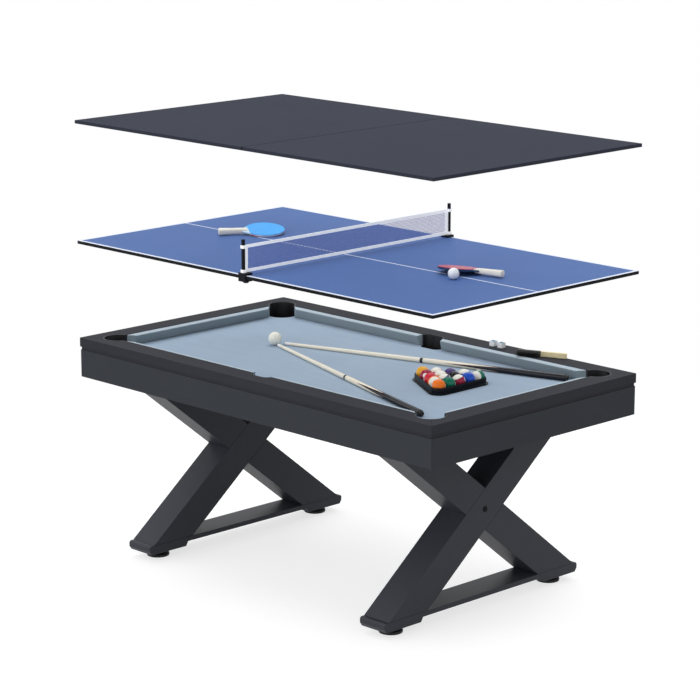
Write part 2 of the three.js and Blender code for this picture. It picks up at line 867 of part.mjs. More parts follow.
function addChalks() {
  const bottom = railTopHeight + seatGap;
  const cube = raised(chamferedRectangle(chalkSize, chalkSize, chalkEdge), bottom, bottom + chalkSize);
  const dimpleHeight = bottom + chalkSize - chalkDimpleDepth + chalkDimpleRadius;
  const chalk = cut(cube, sphere(chalkDimpleRadius, looseBallSteps).translate(0, 0, dimpleHeight));
  const y = halfWidth - railWidth + chalkFromRailEdge;
  for (const [index, name] of ["left_chalk", "right_chalk"].entries()) {
    const x = firstChalkFromCentre + index * chalkSpacing;
    addPart(model, name, chalk.clone(), chalkPaper).position.set(x, y, 0);
  }
}

function bristle(x, z) {
  const length = bristleLength + brushBackingThickness / 2;
  const strand = new THREE.ConeGeometry(bristleRadius, length, bristleSides);
  return strand.rotateX(Math.PI).translate(x, -(bristleLength + brushBackingThickness) / 2, z);
}

// Strands that stand on a thin slice of backing, in rows and columns
function bristles() {
  const acrossLength = brushBlockLength - 2 * bristleMargin;
  const acrossHeight = brushHeight - 2 * bristleMargin;
  const strands = [];
  for (let column = 0; column < bristleColumns; column += 1) {
    for (let row = 0; row < bristleRows; row += 1) {
      const x = bristleMargin + (acrossLength * column) / (bristleColumns - 1);
      const z = bristleMargin + (acrossHeight * row) / (bristleRows - 1);
      strands.push(bristle(x, z));
    }
  }
  const backing = block(
    brushBlockLength,
    brushBackingThickness,
    brushHeight,
    brushBlockLength / 2,
    -brushBackingThickness / 2,
    brushHeight / 2,
  );
  return joined(mergeGeometries(strands), backing);
}

// The brush lies on its side, bristles towards the playfield
function addBrush() {
  const brush = new THREE.Group();
  brush.position.set(brushFromCentre, halfWidth - railWidth + brushFromRailEdge, railTopHeight + seatGap);
  brush.rotation.z = brushHeading;
  model.add(brush);

  const front = seatGap;
  const back = seatGap + brushDepth;
  const handleBack = back - (brushDepth - brushHandleDepth) / 2;
  const handleFront = front + (brushDepth - brushHandleDepth) / 2;
  const end = brushBlockLength + brushHandleLength;
  const wood = outline([
    point(0, front),
    point(brushBlockLength, front),
    point(brushBlockLength + brushEdge, handleFront),
    point(end - brushEdge, handleFront),
    point(end, handleFront + brushEdge),
    point(end, handleBack - brushEdge),
    point(end - brushEdge, handleBack),
    point(brushBlockLength + brushEdge, handleBack),
    point(brushBlockLength, back),
    point(brushEdge, back),
    point(0, back - brushEdge),
  ]);
  addPart(brush, "brush_handle", raised(wood, 0, brushHeight), brushWood);
  addPart(brush, "brush_bristles", bristles(), blackBristle);
}

// A paddle with its blade's centre at the origin and its handle towards -x
function paddleGeometry() {
  const blade = new THREE.Shape();
  const opening = Math.acos(-throatHalfWidth / bladeRadius) + shoulderAngle;
  blade.absarc(0, 0, bladeRadius, -opening, opening);
  blade.lineTo(-throatReach, throatHalfWidth);
  blade.lineTo(-throatReach, -throatHalfWidth);
  const sheet = raised(blade, -bladeThickness / 2, bladeThickness / 2, bladeArcSteps);

  const length = handleEnd - handleStart;
  const grip = raised(
    chamferedRectangle(length, 2 * handleHalfWidth, handleEdge),
    -handleThickness / 2,
    handleThickness / 2,
  ).translate(-handleStart - length / 2, 0, 0);
  return joined(sheet, grip);
}

// A paddle lies on its handle's lower edge and the edge of its blade
function addPaddle(name, place, heading, material) {
  const holder = new THREE.Group();
  holder.position.set(place.x, place.y, tennisTop + seatGap);
  holder.rotation.z = heading;
  model.add(holder);
  const onHandle = handleHalfWidth * Math.sin(paddleRoll) + (handleThickness / 2) * Math.cos(paddleRoll);
  const onBlade = bladeRadius * Math.sin(paddleRoll) + (bladeThickness / 2) * Math.cos(paddleRoll);
  const paddle = addPart(holder, name, paddleGeometry(), material);
  paddle.rotation.x = paddleRoll;
  paddle.position.z = Math.max(onHandle, onBlade);
}

function addTennisSet() {
  addPaddle("left_paddle", leftPaddlePlace, leftPaddleHeading, bluePaddle);
  addPaddle("right_paddle", rightPaddlePlace, rightPaddleHeading, redPaddle);
  const ball = addPart(model, "tennis_ball", sphere(tennisBallRadius, looseBallSteps), whiteCelluloid);
  ball.position.set(tennisBallPlace.x, tennisBallPlace.y, tennisTop + seatGap + tennisBallRadius);
}

addRailsAndAprons();
addCushions();
addPockets();
addPlayfield();
addLeg("left", -1);
addLeg("right", 1);
addTops();
addNet();
addRack();
addCuesAndCueBall();
addChalks();
addBrush();
addTennisSet();

export default model;
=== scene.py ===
import math
import random

import bmesh
import bpy
import numpy as np
from mathutils import Matrix, Vector


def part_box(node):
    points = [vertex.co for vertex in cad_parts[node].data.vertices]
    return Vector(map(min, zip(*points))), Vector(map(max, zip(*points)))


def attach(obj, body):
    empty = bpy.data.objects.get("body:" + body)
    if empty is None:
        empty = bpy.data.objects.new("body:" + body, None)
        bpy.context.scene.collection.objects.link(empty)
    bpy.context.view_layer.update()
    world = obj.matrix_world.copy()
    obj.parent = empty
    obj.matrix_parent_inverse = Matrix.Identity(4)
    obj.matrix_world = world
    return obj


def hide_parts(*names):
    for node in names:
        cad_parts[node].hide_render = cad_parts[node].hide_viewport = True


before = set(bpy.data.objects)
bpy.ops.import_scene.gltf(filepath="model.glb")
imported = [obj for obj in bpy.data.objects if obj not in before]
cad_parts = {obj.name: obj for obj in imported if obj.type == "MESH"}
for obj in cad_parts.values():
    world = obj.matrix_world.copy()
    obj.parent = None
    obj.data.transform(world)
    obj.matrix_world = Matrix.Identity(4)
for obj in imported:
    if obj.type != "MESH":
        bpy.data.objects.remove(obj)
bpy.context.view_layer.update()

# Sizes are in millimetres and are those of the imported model, unless a name says otherwise.
MM = 0.001

# Table
HALF_LENGTH = 915
HALF_WIDTH = 523.5
RAIL_TOP = 810
RAIL_UNDERSIDE = 775.5
RAIL_WIDTH = 87
RAIL_GROOVE = 4.5
APRON_INSET = 2
APRON_THICKNESS = 18
APRON_TOP = 764
APRON_BOTTOM = 659.5
MITRE = 1
CLOTH_TOP = 768
CLOTH_THICKNESS = 2
SEAT_GAP = 0.3
ENDS = (("left", -1), ("right", 1))

# Cushions
CUSHION_TOP_DROP = 1
CUSHION_NOSE_DROP = 4.5
CUSHION_NOSE = 7
CUSHION_WIDTH = 24
CUSHION_FOOT = 12
CUSHION_END_GAP = 2
CORNER_JAW = math.radians(38)
MIDDLE_JAW = math.radians(72)

# Pockets
CORNER_RADIUS = 55
CORNER_INSET = 14.6
MIDDLE_LENGTH = 100
MIDDLE_WIDTH = 54
MIDDLE_SCALLOP = 24.5
POCKET_WALL = 3.5
POCKET_FLOOR = 4
POCKET_DEPTH = 80
POCKET_LIP_DROP = 0.5
CORNER_CENTRE = RAIL_WIDTH + CORNER_INSET
MIDDLE_CENTRE = RAIL_WIDTH - MIDDLE_SCALLOP + MIDDLE_WIDTH / 2
OVERRUN = 10

# Feet, whose outlines tell how far each point lies inside the radius, and its height
FOOT_DISC_RADIUS = 42.5
FOOT_DISC_OUTLINE = [(2.5, 0), (0.8, 0.7), (0, 2.5), (0, 7.5), (0.9, 9.8), (3.2, 11.3), (9, 12)]
FOOT_NECK_RADIUS = 13
FOOT_NECK_OUTLINE = [(-4, 12.6), (-0.6, 15), (0, 18), (0, 25.7)]
FOOT_NECK_TOP = 26.7
FOOT_STEM_RADIUS = 6
FOOT_STEM_TOP = 54
FOOT_EASE = 1

# Centre bolts, with the fillers over their inner ends
BOLT_SHANK_RADIUS = 5
BOLT_HEAD_RADIUS = 11
BOLT_HEAD_HEIGHT = 4
BOLT_HEAD_OUTLINE = [(0, SEAT_GAP), (0, 1.6), (0.8, 2.9), (2.6, 3.7), (5, BOLT_HEAD_HEIGHT)]
BOLT_POINT = 0.5
BOLT_SOCKET = 4.6
BOLT_SOCKET_FLOOR = 1.2
FILLER_RADIUS = 5.2
FILLER_DEPTH = 3
FILLER_EASE = 0.3
FILLER_SINK = 0.1

# Threads: their pitch and depth
FOOT_THREAD = (1.5, 0.7)
BOLT_THREAD = (1.5, 0.5)
SCREW_THREAD = (1, 0.4)

# Net
NET_BOTTOM = 1189.1
NET_HEIGHT = 97
NET_TAPE = 11
NET_TAPE_THICKNESS = 2.6
NET_SIDE_TAPE = 15
SIDE_TAPE_SHARE = 0.9
NET_LAP_SHARE = 0.25
NET_COLUMNS = 200
NET_ROWS = 15
NET_CORD = 1.0
POST_SIZE = 10
POST_INSET = 3.5
LOOP_GAP = 0.5
LOOP_WALL = 1.6

# Clamp screws
SCREW_INSET = 15
SCREW_PAD_TOP = 1167.7
SCREW_PAD_RADIUS = 7
SCREW_PAD_THICKNESS = 2
SCREW_PAD_EASE = 0.6
SCREW_SHANK_RADIUS = 3.2
SCREW_KNOB_RADIUS = 10
SCREW_KNOB_TOP = 1156.5
SCREW_KNOB_BOTTOM = 1151.5
SCREW_KNOB_EASE = 1.6
SCREW_KNOB_EASE_HEIGHT = 1.4
SCREW_FLUTES = 12
SCREW_FLUTE_DEPTH = 0.7
SCREW_FLUTED_FROM = 8

# Tennis and dining tops
TENNIS_TOP = 1180.5
TENNIS_PAINT = 1.3
TENNIS_LINE = 12
TENNIS_CENTRE_LINE = 3
SEAM_EDGE = 2.2

# Balls, the racked ones a little smaller so that they don't touch
BALL_RADIUS = 25.4
RACKED_RADIUS = 25.1
BALL_PITCH = 50.3
ROW_PITCH = BALL_PITCH * math.sqrt(3) / 2
STRIPED_FROM = 9
BALL_SPOT_SHARE = 0.36
BALL_BAND_SHARE = 0.55
NUMERAL_SIZE = 11
NUMERAL_RADIUS = 25.44
BALL_COLOURS = {
    1: (0.86, 0.42, 0.03),
    2: (0.012, 0.085, 0.58),
    3: (0.68, 0.022, 0.05),
    4: (0.075, 0.045, 0.20),
    5: (0.95, 0.20, 0.012),
    6: (0.0, 0.17, 0.10),
    7: (0.36, 0.010, 0.05),
    8: (0.008, 0.008, 0.010),
}

# Rows from the rack's corner towards the table's left end; in each row the ball nearest the near rail comes
# first. Each ball has its number and the two turns, in degrees, that aim its spot.
RACKED = [
    [(1, 45, 0)],
    [(7, -60, 20), (11, 45, 12)],
    [(3, 45, 0), (9, 45, 10), (4, 45, 0)],
    [(13, 135, 72), (12, 45, 30), (8, 45, 0), (10, 45, 10)],
    [(5, 45, 0), (6, 45, 0), (15, 45, 20), (2, 45, 0), (14, 105, 80)],
]

# Rack
RACK_SIDE = 4 * BALL_PITCH
RACK_CLEARANCE = 1
RACK_WALL = 4
RACK_HEIGHT = 25
RACK_LIP = 7
RACK_LIP_HEIGHT = 5
RACK_LIP_EASE = 1.2
RACK_FILLET = 1.5
RACK_TAPER = 0.4
RACK_RIM = 1

# Cues
CUE_LENGTH = 1180
CUE_MIDDLE = CUE_LENGTH / 2
CUE_TIP_RADIUS = 6
CUE_TIP_OUTLINE = [(0, 32), (0, 6), (0, 3), (1, 1.2), (3, 0.3)]
CUE_RING_RADIUS = 9
CUE_RING_PROUD = 0.1
CUE_RING_HALF = 6
CUE_COLLAR_HALF = 12
CUE_BUTT_RADIUS = 12
CUE_BUTT_EASE = 1
CUE_BUTT_EASE_LENGTH = 1.5
CUE_BUMPER_RADIUS = 9
CUE_BUMPER_LENGTH = 12
CUE_BUMPER_EASE = 2.5
CUE_BUMPER_FLARE = 0.6
CUE_RUBBER = 13
CUE_FERRULE = 30
CUE_LEATHER = 6
CUE_POINT_TIP = 500
CUE_POINT_ROOT = 280
CUE_VENEER_HALF = 6
CUE_ROLLS = {"near": 0.5, "far": 0.2}

# Chalks
CHALK_SIZE = 22
CHALK_DIMPLE_RADIUS = 18
CHALK_DIMPLE_DEPTH = 2
CHALK_LABEL_GAP = 3
CHALK_DIMPLE_DARK_RADIUS = 7.6

# Brush, whose neck's outline tells how far each point lies past the block and inside the handle
BRUSH_PLACE = (427.5, 434.5, 810.3)
BRUSH_HEADING = math.radians(23)
BRUSH_BLOCK = 90
BRUSH_HANDLE = 98
BRUSH_DEPTH = 14
BRUSH_HANDLE_DEPTH = 12
BRUSH_HEIGHT = 20
BRUSH_NECK_OUTLINE = [(5, 1.4), (16, 1.9)]
BRUSH_WAIST = 30
BRUSH_END_EASE = 5
BRUSH_END_DEPTH = 4
BRUSH_NOSE = 6
BRUSH_NOSE_DEPTH = 5
BRUSH_CORNER = 60
BRISTLE_SEED = 5
BRISTLE_LENGTH = 20.8
BRISTLE_TRIM = 1.4
BRISTLE_COLUMNS = 30
BRISTLE_ROWS = 12
BRISTLE_RADIUS = 0.55
BRISTLE_TIP_SHARE = 0.6
BRISTLE_SIDES = 5
BRISTLE_ROOT = 1
BRISTLE_MARGIN = 2
BRISTLE_EDGE = 0.6
BRISTLE_BACKING = 1.6
ROOT_SCATTER = (0.5, 0.3)
TIP_SCATTER = (1.6, 1.2)

# Paddles, each with its place and heading; the grip's stations have a reach, half a width and half a depth
PADDLES = {
    "left": ((-525, 65), math.radians(57.6)),
    "right": ((497, 46), math.radians(192.9)),
}
PADDLE_ROLL = math.radians(8)
BLADE_RADIUS = 75
CORE_HALF = 2.6
RUBBER_HALF = 4.5
RUBBER_INSET = 0.3
THROAT_REACH = 88
THROAT_HALF = 17
SHOULDER = math.radians(15)
HANDLE_START = 62
HANDLE_HALF_WIDTH = 15
HANDLE_HALF_DEPTH = 12
GRIP_STATIONS = [
    (HANDLE_START, 8, 4.6),
    (68, 11, 6.5),
    (76, 12.5, 9),
    (92, 12.6, 10),
    (126, 12.8, 10.5),
    (158, 14.2, 11.6),
    (171, HANDLE_HALF_WIDTH, HANDLE_HALF_DEPTH),
    (174.5, 14.4, 11.4),
    (176, 12, 9),
]
GRIP_WIDTH_POWER = 0.55
GRIP_DEPTH_POWER = 0.75

# Eased edges: their width and facets
EDGES = {
    "rail": (1.2, 3),
    "apron": (1.2, 3),
    "cushion": (2.2, 4),
    "pocket": (0.8, 2),
    "beam": (1.4, 3),
    "bar": (1.0, 3),
    "tennis": (0.9, 3),
    "dining": (1.2, 3),
    "tape": (0.6, 2),
    "bracket": (1.8, 3),
    "chalk": (1.6, 3),
    "brush": (2.2, 4),
    "ply": (0.4, 3),
    "rubber": (0.7, 3),
}

# Facets of round shapes, angles in degrees below which they are shaded smooth, and limits of mending
FINE_STEPS = 96
BLADE_STEPS = 64
TURNED_STEPS = 48
GRIP_STEPS = 40
SMALL_STEPS = 24
RACK_STEPS = 16
BALL_CUTS = 17
NUMERAL_CUTS = 2
HEXAGON = 6
FLAT_ANGLE = 20
ROUND_ANGLE = 35
KNOB_ANGLE = 50
ALL_ROUND = 180
SHARP_CORNER = 30
WELD_METRES = 1e-6
FLAT_RADIANS = 0.01

# Textures: their density to a metre, levels of detail and roughness
TEXTURES = {
    "board_grain": (14, 8, 0.65),
    "board_speckle": (900, 2, 0.5),
    "board_clouds": (2.5, 3, 0.5),
    "felt_nap": (1300, 3, 0.6),
    "felt_strokes": (2.2, 4, 0.5),
    "plastic_grain": (1500, 3, 0.5),
    "plastic_smear": (30, 4, 0.5),
    "tape_soil": (60, 4, 0.5),
    "wood_grain": (40, 8, 0.6),
    "wood_pores": (260, 3, 0.5),
    "paint_grit": (1100, 3, 0.5),
    "paint_clouds": (3, 4, 0.5),
    "ball_swirl": (55, 5, 0.5),
    "ball_haze": (400, 3, 0.5),
    "cue_ball_swirl": (50, 5, 0.5),
    "cue_grain": (18, 8, 0.6),
    "chalk_powder": (900, 4, 0.7),
    "paper_mottle": (3, 3, 0.5),
}
CLEAR_CONTRAST = 0.2
STRONG_CONTRAST = 0.15
LONG_GRAIN = (1, 12, 12)
TAPE_THREADS = 700
WHITE = (1, 1, 1, 1)

# The camera that took the picture, as a photographer would set it, in metres and degrees
CAMERA_AZIMUTH = 45.5
CAMERA_ELEVATION = 13.1
CAMERA_DISTANCE = 9.6
CAMERA_TARGET = (0, 0, 0.828)
CAMERA_LENS = 135.4
CAMERA_SENSOR = 36
CAMERA_REACH = 100

# Studio, in metres and shares of white
FLOOR_REACH = 30
FLOOR_GLOW = 0.7
FLOOR_FADE = (1.7, 3.4)
SKY_LEVEL = 0.2
LAMP_DISTANCE = 6

# Three wide, even softboxes: direction, spread in degrees, and share of white that each gives a surface that
# faces it
LAMPS = {
    "top_softbox": ((-0.25, 0.3, 1), 70, 0.65),
    "front_softbox": ((-0.35, -1, 0.4), 90, 0.62),
    "side_softbox": ((1, -0.1, 0.3), 90, 0.28),
}


# Short ways to add nodes to a material's tree or the world's
class Tree:
    def __init__(self, tree):
        self.tree = tree

    def node(self, kind, inputs=(), **settings):
        made = self.tree.nodes.new("ShaderNode" + kind)
        for setting, value in settings.items():
            setattr(made, setting, value)
        for socket, value in dict(inputs).items():
            if isinstance(value, bpy.types.NodeSocket):
                self.tree.links.new(value, made.inputs[socket])
            else:
                made.inputs[socket].default_value = value
        return made

    def math(self, operation, first, second=0.0):
        return self.node("Math", {0: first, 1: second}, operation=operation).outputs[0]

    def spread(self, value, low, high, to_low=0.0, to_high=1.0):
        inputs = {"Value": value, "From Min": low, "From Max": high, "To Min": to_low, "To Max": to_high}
        return self.node("MapRange", inputs).outputs["Result"]

    # What the camera, reflections and glass see, but lighting doesn't
    def seen(self):
        rays = self.node("LightPath").outputs
        either = self.math("MAXIMUM", rays["Is Camera Ray"], rays["Is Glossy Ray"])
        return self.math("MAXIMUM", either, rays["Is Transmission Ray"])


# One procedural material
class Look(Tree):
    def __init__(self, name, roughness, specular, **sockets):
        self.material = bpy.data.materials.new(name)
        self.material.use_nodes = True
        super().__init__(self.material.node_tree)
        self.shader = self.tree.nodes["Principled BSDF"]
        levels = {"Roughness": roughness, "Specular IOR Level": specular, **sockets}
        for socket, value in levels.items():
            self.shader.inputs[socket.replace("_", " ")].default_value = value

    def set(self, socket, output):
        self.tree.links.new(output, self.shader.inputs[socket])

    def place(self, stretch=(1, 1, 1)):
        where = self.node("TexCoord").outputs["Object"]
        return self.node("Mapping", {"Vector": where, "Scale": stretch}).outputs["Vector"]

    def axes(self):
        split = self.node("SeparateXYZ", {"Vector": self.place()})
        return split.outputs["X"], split.outputs["Y"], split.outputs["Z"]

    # How far the surface faces upwards
    def upward(self):
        normal = self.node("NewGeometry").outputs["Normal"]
        return self.node("SeparateXYZ", {"Vector": normal}).outputs["Z"]

    # The distance from the axis that is square to two others
    def off_axis(self, first, second):
        squares = self.math("ADD", self.math("POWER", first, 2.0), self.math("POWER", second, 2.0))
        return self.math("SQRT", squares)

    def noise(self, texture, stretch=(1, 1, 1)):
        density, detail, roughness = TEXTURES[texture]
        inputs = {"Vector": self.place(stretch), "Scale": density, "Detail": detail, "Roughness": roughness}
        return self.node("TexNoise", inputs).outputs["Fac"]

    # A noise spread over its usual range, from one value to another
    def tone(self, noise, low=0.0, high=1.0, contrast=CLEAR_CONTRAST):
        return self.spread(noise, 0.5 - contrast, 0.5 + contrast, low, high)

    # Two noises added up, the first with the given share
    def blend(self, first, second, share, contrast=CLEAR_CONTRAST):
        first = self.tone(first, 0, share, contrast)
        return self.math("ADD", first, self.tone(second, 0, 1 - share, contrast))

    def between(self, value, low, high):
        above = self.math("GREATER_THAN", value, low)
        return self.math("MULTIPLY", above, self.math("LESS_THAN", value, high))

    def mix(self, share, *colours):
        first, second = [c if isinstance(c, bpy.types.NodeSocket) else (*c, 1) for c in colours]
        return self.node("Mix", {0: share, 6: first, 7: second}, data_type="RGBA").outputs[2]

    # Gives the shader its colour and, where they are told, its roughness and relief
    def finished(self, colour, dull=None, relief=None, strength=0.0, depth=0.0):
        self.set("Base Color", colour)
        if dull is not None:
            self.set("Roughness", dull)
        if relief is not None:
            inputs = {"Height": relief, "Strength": strength, "Distance": depth * MM}
            self.set("Normal", self.node("Bump", inputs).outputs["Normal"])
        return self.material


def grey(level):
    return (level, level, level)


# Laminate or paint on board, with a faint grain along one axis
def board_look(name, dark, light, roughness, specular, stretch=(1, 1, 1), strength=0.12, seam=0):
    look = Look(name, roughness, specular)
    grain = look.noise("board_grain", stretch)
    speckle = look.noise("board_speckle")
    colour = look.mix(look.blend(grain, look.noise("board_clouds"), share=0.6), dark, light)
    if seam:
        at_seam = look.math("LESS_THAN", look.math("ABSOLUTE", look.axes()[0]), seam * MM)
        colour = look.mix(at_seam, colour, (0.004, 0.004, 0.005))
    dull = look.tone(speckle, low=roughness - 0.05, high=roughness + 0.06)
    relief = look.math("ADD", look.tone(grain, high=0.5), speckle)
    return look.finished(colour, dull, relief, strength, depth=0.25)


# Napped cloth, brushed one way; where it faces upwards it may get painted light, a paler colour standing in
# for light from above
def felt_look(name, dark, light, painted_light_top=None):
    look = Look(name, roughness=0.95, specular=0.15, Sheen_Weight=0.12, Sheen_Roughness=0.5)
    nap = look.noise("felt_nap")
    strokes = look.noise("felt_strokes", stretch=(3, 20, 20))
    tone = look.math("ADD", look.tone(nap, high=0.7), look.tone(strokes, high=0.3, contrast=STRONG_CONTRAST))
    colour = look.mix(tone, dark, light)
    if painted_light_top:
        # Painted light: where the felt faces upwards it is mixed towards a paler colour, as if lit from
        # above
        painted_light_share = look.spread(look.upward(), low=0.4, high=0.9, to_high=0.9)
        colour = look.mix(painted_light_share, colour, painted_light_top)
    return look.finished(colour, relief=nap, strength=0.35, depth=0.4)


def plastic_look(name, dark, light, roughness, specular=0.5):
    look = Look(name, roughness, specular)
    smear = look.noise("plastic_smear")
    colour = look.mix(look.tone(smear), dark, light)
    dull = look.tone(smear, low=roughness * 0.85, high=roughness * 1.2)
    return look.finished(colour, dull, look.noise("plastic_grain"), strength=0.1, depth=0.15)


# Woven tape or cord, with crossing threads; white tape may get a painted glow, a little emission that stands
# in for light on its shaded sides
def weave_look(name, dark, light, painted_glow=0):
    look = Look(name, roughness=0.85, specular=0.2, Sheen_Weight=0.1, Emission_Strength=painted_glow)
    x, y, z = look.axes()
    waves = TAPE_THREADS * 2 * math.pi
    along = look.math("SINE", look.math("MULTIPLY", look.math("ADD", x, y), waves))
    up = look.math("SINE", look.math("MULTIPLY", z, waves))
    relief = look.math("MULTIPLY", along, up)
    soil = look.tone(look.noise("tape_soil"), high=0.4)
    tone = look.math("ADD", look.spread(relief, low=-1, high=1, to_high=0.6), soil)
    return look.finished(look.mix(tone, dark, light), relief=relief, strength=0.3, depth=0.3)


# Bare or lacquered wood with long grain along one axis
def wood_look(name, dark, light, roughness, stretch, specular):
    look = Look(name, roughness, specular)
    grain = look.noise("wood_grain", stretch)
    pores = look.noise("wood_pores", stretch)
    tone = look.blend(grain, pores, share=0.8, contrast=STRONG_CONTRAST)
    dull = look.tone(pores, low=roughness * 0.9, high=roughness * 1.15)
    return look.finished(look.mix(tone, dark, light), dull, grain, strength=0.15, depth=0.2)


# Matte blue paint with white border and centre lines on top, and a black edge band
def tennis_look():
    look = Look("tennis_paint", roughness=0.55, specular=0.03)
    x, y, z = look.axes()
    across = look.math("ABSOLUTE", y)
    ends = look.math("GREATER_THAN", look.math("ABSOLUTE", x), (HALF_LENGTH - TENNIS_LINE) * MM)
    sides = look.math("GREATER_THAN", across, (HALF_WIDTH - TENNIS_LINE) * MM)
    centre = look.math("LESS_THAN", across, TENNIS_CENTRE_LINE * MM)
    lines = look.math("MAXIMUM", look.math("MAXIMUM", ends, sides), centre)
    is_high = look.math("GREATER_THAN", z, (TENNIS_TOP - TENNIS_PAINT) * MM)
    is_top = look.math("MULTIPLY", is_high, look.math("GREATER_THAN", look.upward(), 0.3))
    grit = look.noise("paint_grit")
    tone = look.blend(grit, look.noise("paint_clouds"), share=0.5)
    blue = look.mix(tone, (0.074, 0.142, 0.352), (0.089, 0.167, 0.405))
    white = look.mix(tone, (0.72, 0.78, 0.92), (0.84, 0.88, 0.97))
    edge = look.mix(tone, (0.010, 0.011, 0.013), (0.016, 0.018, 0.022))
    colour = look.mix(is_top, edge, look.mix(lines, blue, white))
    dull = look.tone(grit, low=0.44, high=0.56)
    return look.finished(colour, dull, grit, strength=0.12, depth=0.2)


# Polished resin: a solid colour, or white with a coloured band, with a white spot on both ends of x
def ball_look(name, colour, striped):
    look = Look(name, roughness=0.1, specular=0.2)
    _, y, z = look.axes()
    radius = BALL_RADIUS * MM
    spot = look.math("LESS_THAN", look.off_axis(y, z), radius * BALL_SPOT_SHARE)
    swirl = look.tone(look.noise("ball_swirl"))
    deep = tuple(0.85 * value for value in colour)
    paint = look.mix(swirl, deep, colour)
    white = look.mix(swirl, (0.84, 0.82, 0.74), (0.92, 0.91, 0.85))
    if striped:
        band = look.math("LESS_THAN", look.math("ABSOLUTE", z), radius * BALL_BAND_SHARE)
        paint = look.mix(band, white, paint)
    dull = look.tone(look.noise("ball_haze"), low=0.07, high=0.16)
    return look.finished(look.mix(spot, paint, white), dull)


def cue_ball_look():
    look = Look("cue_ball_resin", roughness=0.12, specular=0.2)
    swirl = look.tone(look.noise("cue_ball_swirl"))
    dull = look.tone(look.noise("ball_haze"), low=0.09, high=0.18)
    return look.finished(look.mix(swirl, (0.86, 0.86, 0.76), (0.91, 0.91, 0.83)), dull)


# A cue: blue leather tip, white ferrule, pale shaft, black ring, pale forearm with black points, black butt
def cue_look():
    look = Look("cue_finish", roughness=0.25, specular=0.25, Coat_Weight=0.1)
    x, y, z = look.axes()
    grain = look.noise("cue_grain", stretch=(60, 60, 3))
    figure = look.tone(grain)
    pale = look.mix(figure, (0.78, 0.72, 0.58), (0.90, 0.86, 0.75))
    forearm = look.mix(figure, (0.80, 0.73, 0.58), (0.91, 0.86, 0.73))
    black = look.mix(figure, (0.008, 0.008, 0.012), (0.014, 0.015, 0.022))
    quarters = look.math("MULTIPLY", look.math("ARCTAN2", y, x), 2 / math.pi)
    away = look.math("MULTIPLY", look.math("PINGPONG", look.math("ADD", quarters, 8), 0.5), 2)
    reach = look.spread(away, low=0, high=1, to_low=CUE_POINT_TIP * MM, to_high=CUE_POINT_ROOT * MM)
    inside = look.math("SUBTRACT", reach, z)
    colour = look.mix(look.math("GREATER_THAN", inside, 0), forearm, black)
    veneer = look.between(inside, -CUE_VENEER_HALF * MM, CUE_VENEER_HALF * MM)
    colour = look.mix(veneer, colour, (0.75, 0.45, 0.42))
    past_tip = CUE_LENGTH + OVERRUN
    bands = [
        (CUE_MIDDLE, past_tip, pale),
        (CUE_MIDDLE - CUE_COLLAR_HALF, CUE_MIDDLE + CUE_COLLAR_HALF, (0.80, 0.76, 0.66)),
        (CUE_MIDDLE - CUE_RING_HALF, CUE_MIDDLE + CUE_RING_HALF, (0.010, 0.012, 0.012)),
        (CUE_LENGTH - CUE_FERRULE, past_tip, (0.86, 0.86, 0.88)),
        (CUE_LENGTH - CUE_LEATHER, past_tip, (0.42, 0.50, 0.58)),
        (-OVERRUN, CUE_RUBBER, grey(0.012)),
    ]
    for low, high, paint in bands:
        band = look.between(z, low * MM, high * MM)
        colour = look.mix(band, colour, paint)
    matte_rubber = look.math("MULTIPLY", band, 0.4)
    dull = look.math("ADD", look.tone(grain, low=0.18, high=0.3), matte_rubber)
    return look.finished(colour, dull, grain, strength=0.05, depth=0.1)


# White printed paper on the sides, pressed grey-blue chalk above and below it; the top is paler, and darker
# again within the dimple
def chalk_look():
    look = Look("chalk_finish", roughness=0.9, specular=0.2)
    x, y, z = look.axes()
    label_top = (CHALK_SIZE - CHALK_LABEL_GAP) * MM
    powder = look.noise("chalk_powder")
    chalk = look.mix(powder, (0.20, 0.27, 0.33), (0.34, 0.42, 0.48))
    paper = look.mix(powder, (0.88, 0.90, 0.95), (0.94, 0.95, 0.97))
    paler_top = look.mix(powder, (0.54, 0.66, 0.76), (0.66, 0.78, 0.86))
    in_dimple = look.math("LESS_THAN", look.off_axis(x, y), CHALK_DIMPLE_DARK_RADIUS * MM)
    top_colour = look.mix(in_dimple, paler_top, (0.03, 0.09, 0.12))
    sides = look.mix(look.between(z, CHALK_LABEL_GAP * MM, label_top), chalk, paper)
    colour = look.mix(look.math("GREATER_THAN", z, label_top), sides, top_colour)
    return look.finished(colour, relief=powder, strength=0.5, depth=0.4)


# Pale bare wood, dipped in black as far as the brush's head reaches
def brush_finish():
    look = Look("brush_wood", roughness=0.5, specular=0.4)
    grain = look.noise("wood_grain", stretch=(1, 14, 14))
    figure = look.tone(grain, contrast=STRONG_CONTRAST)
    wood = look.mix(figure, (0.80, 0.68, 0.38), (0.94, 0.85, 0.56))
    black = look.mix(figure, grey(0.010), grey(0.018))
    on_handle = look.math("GREATER_THAN", look.axes()[0], BRUSH_BLOCK * MM)
    return look.finished(look.mix(on_handle, black, wood), relief=grain, strength=0.15, depth=0.2)


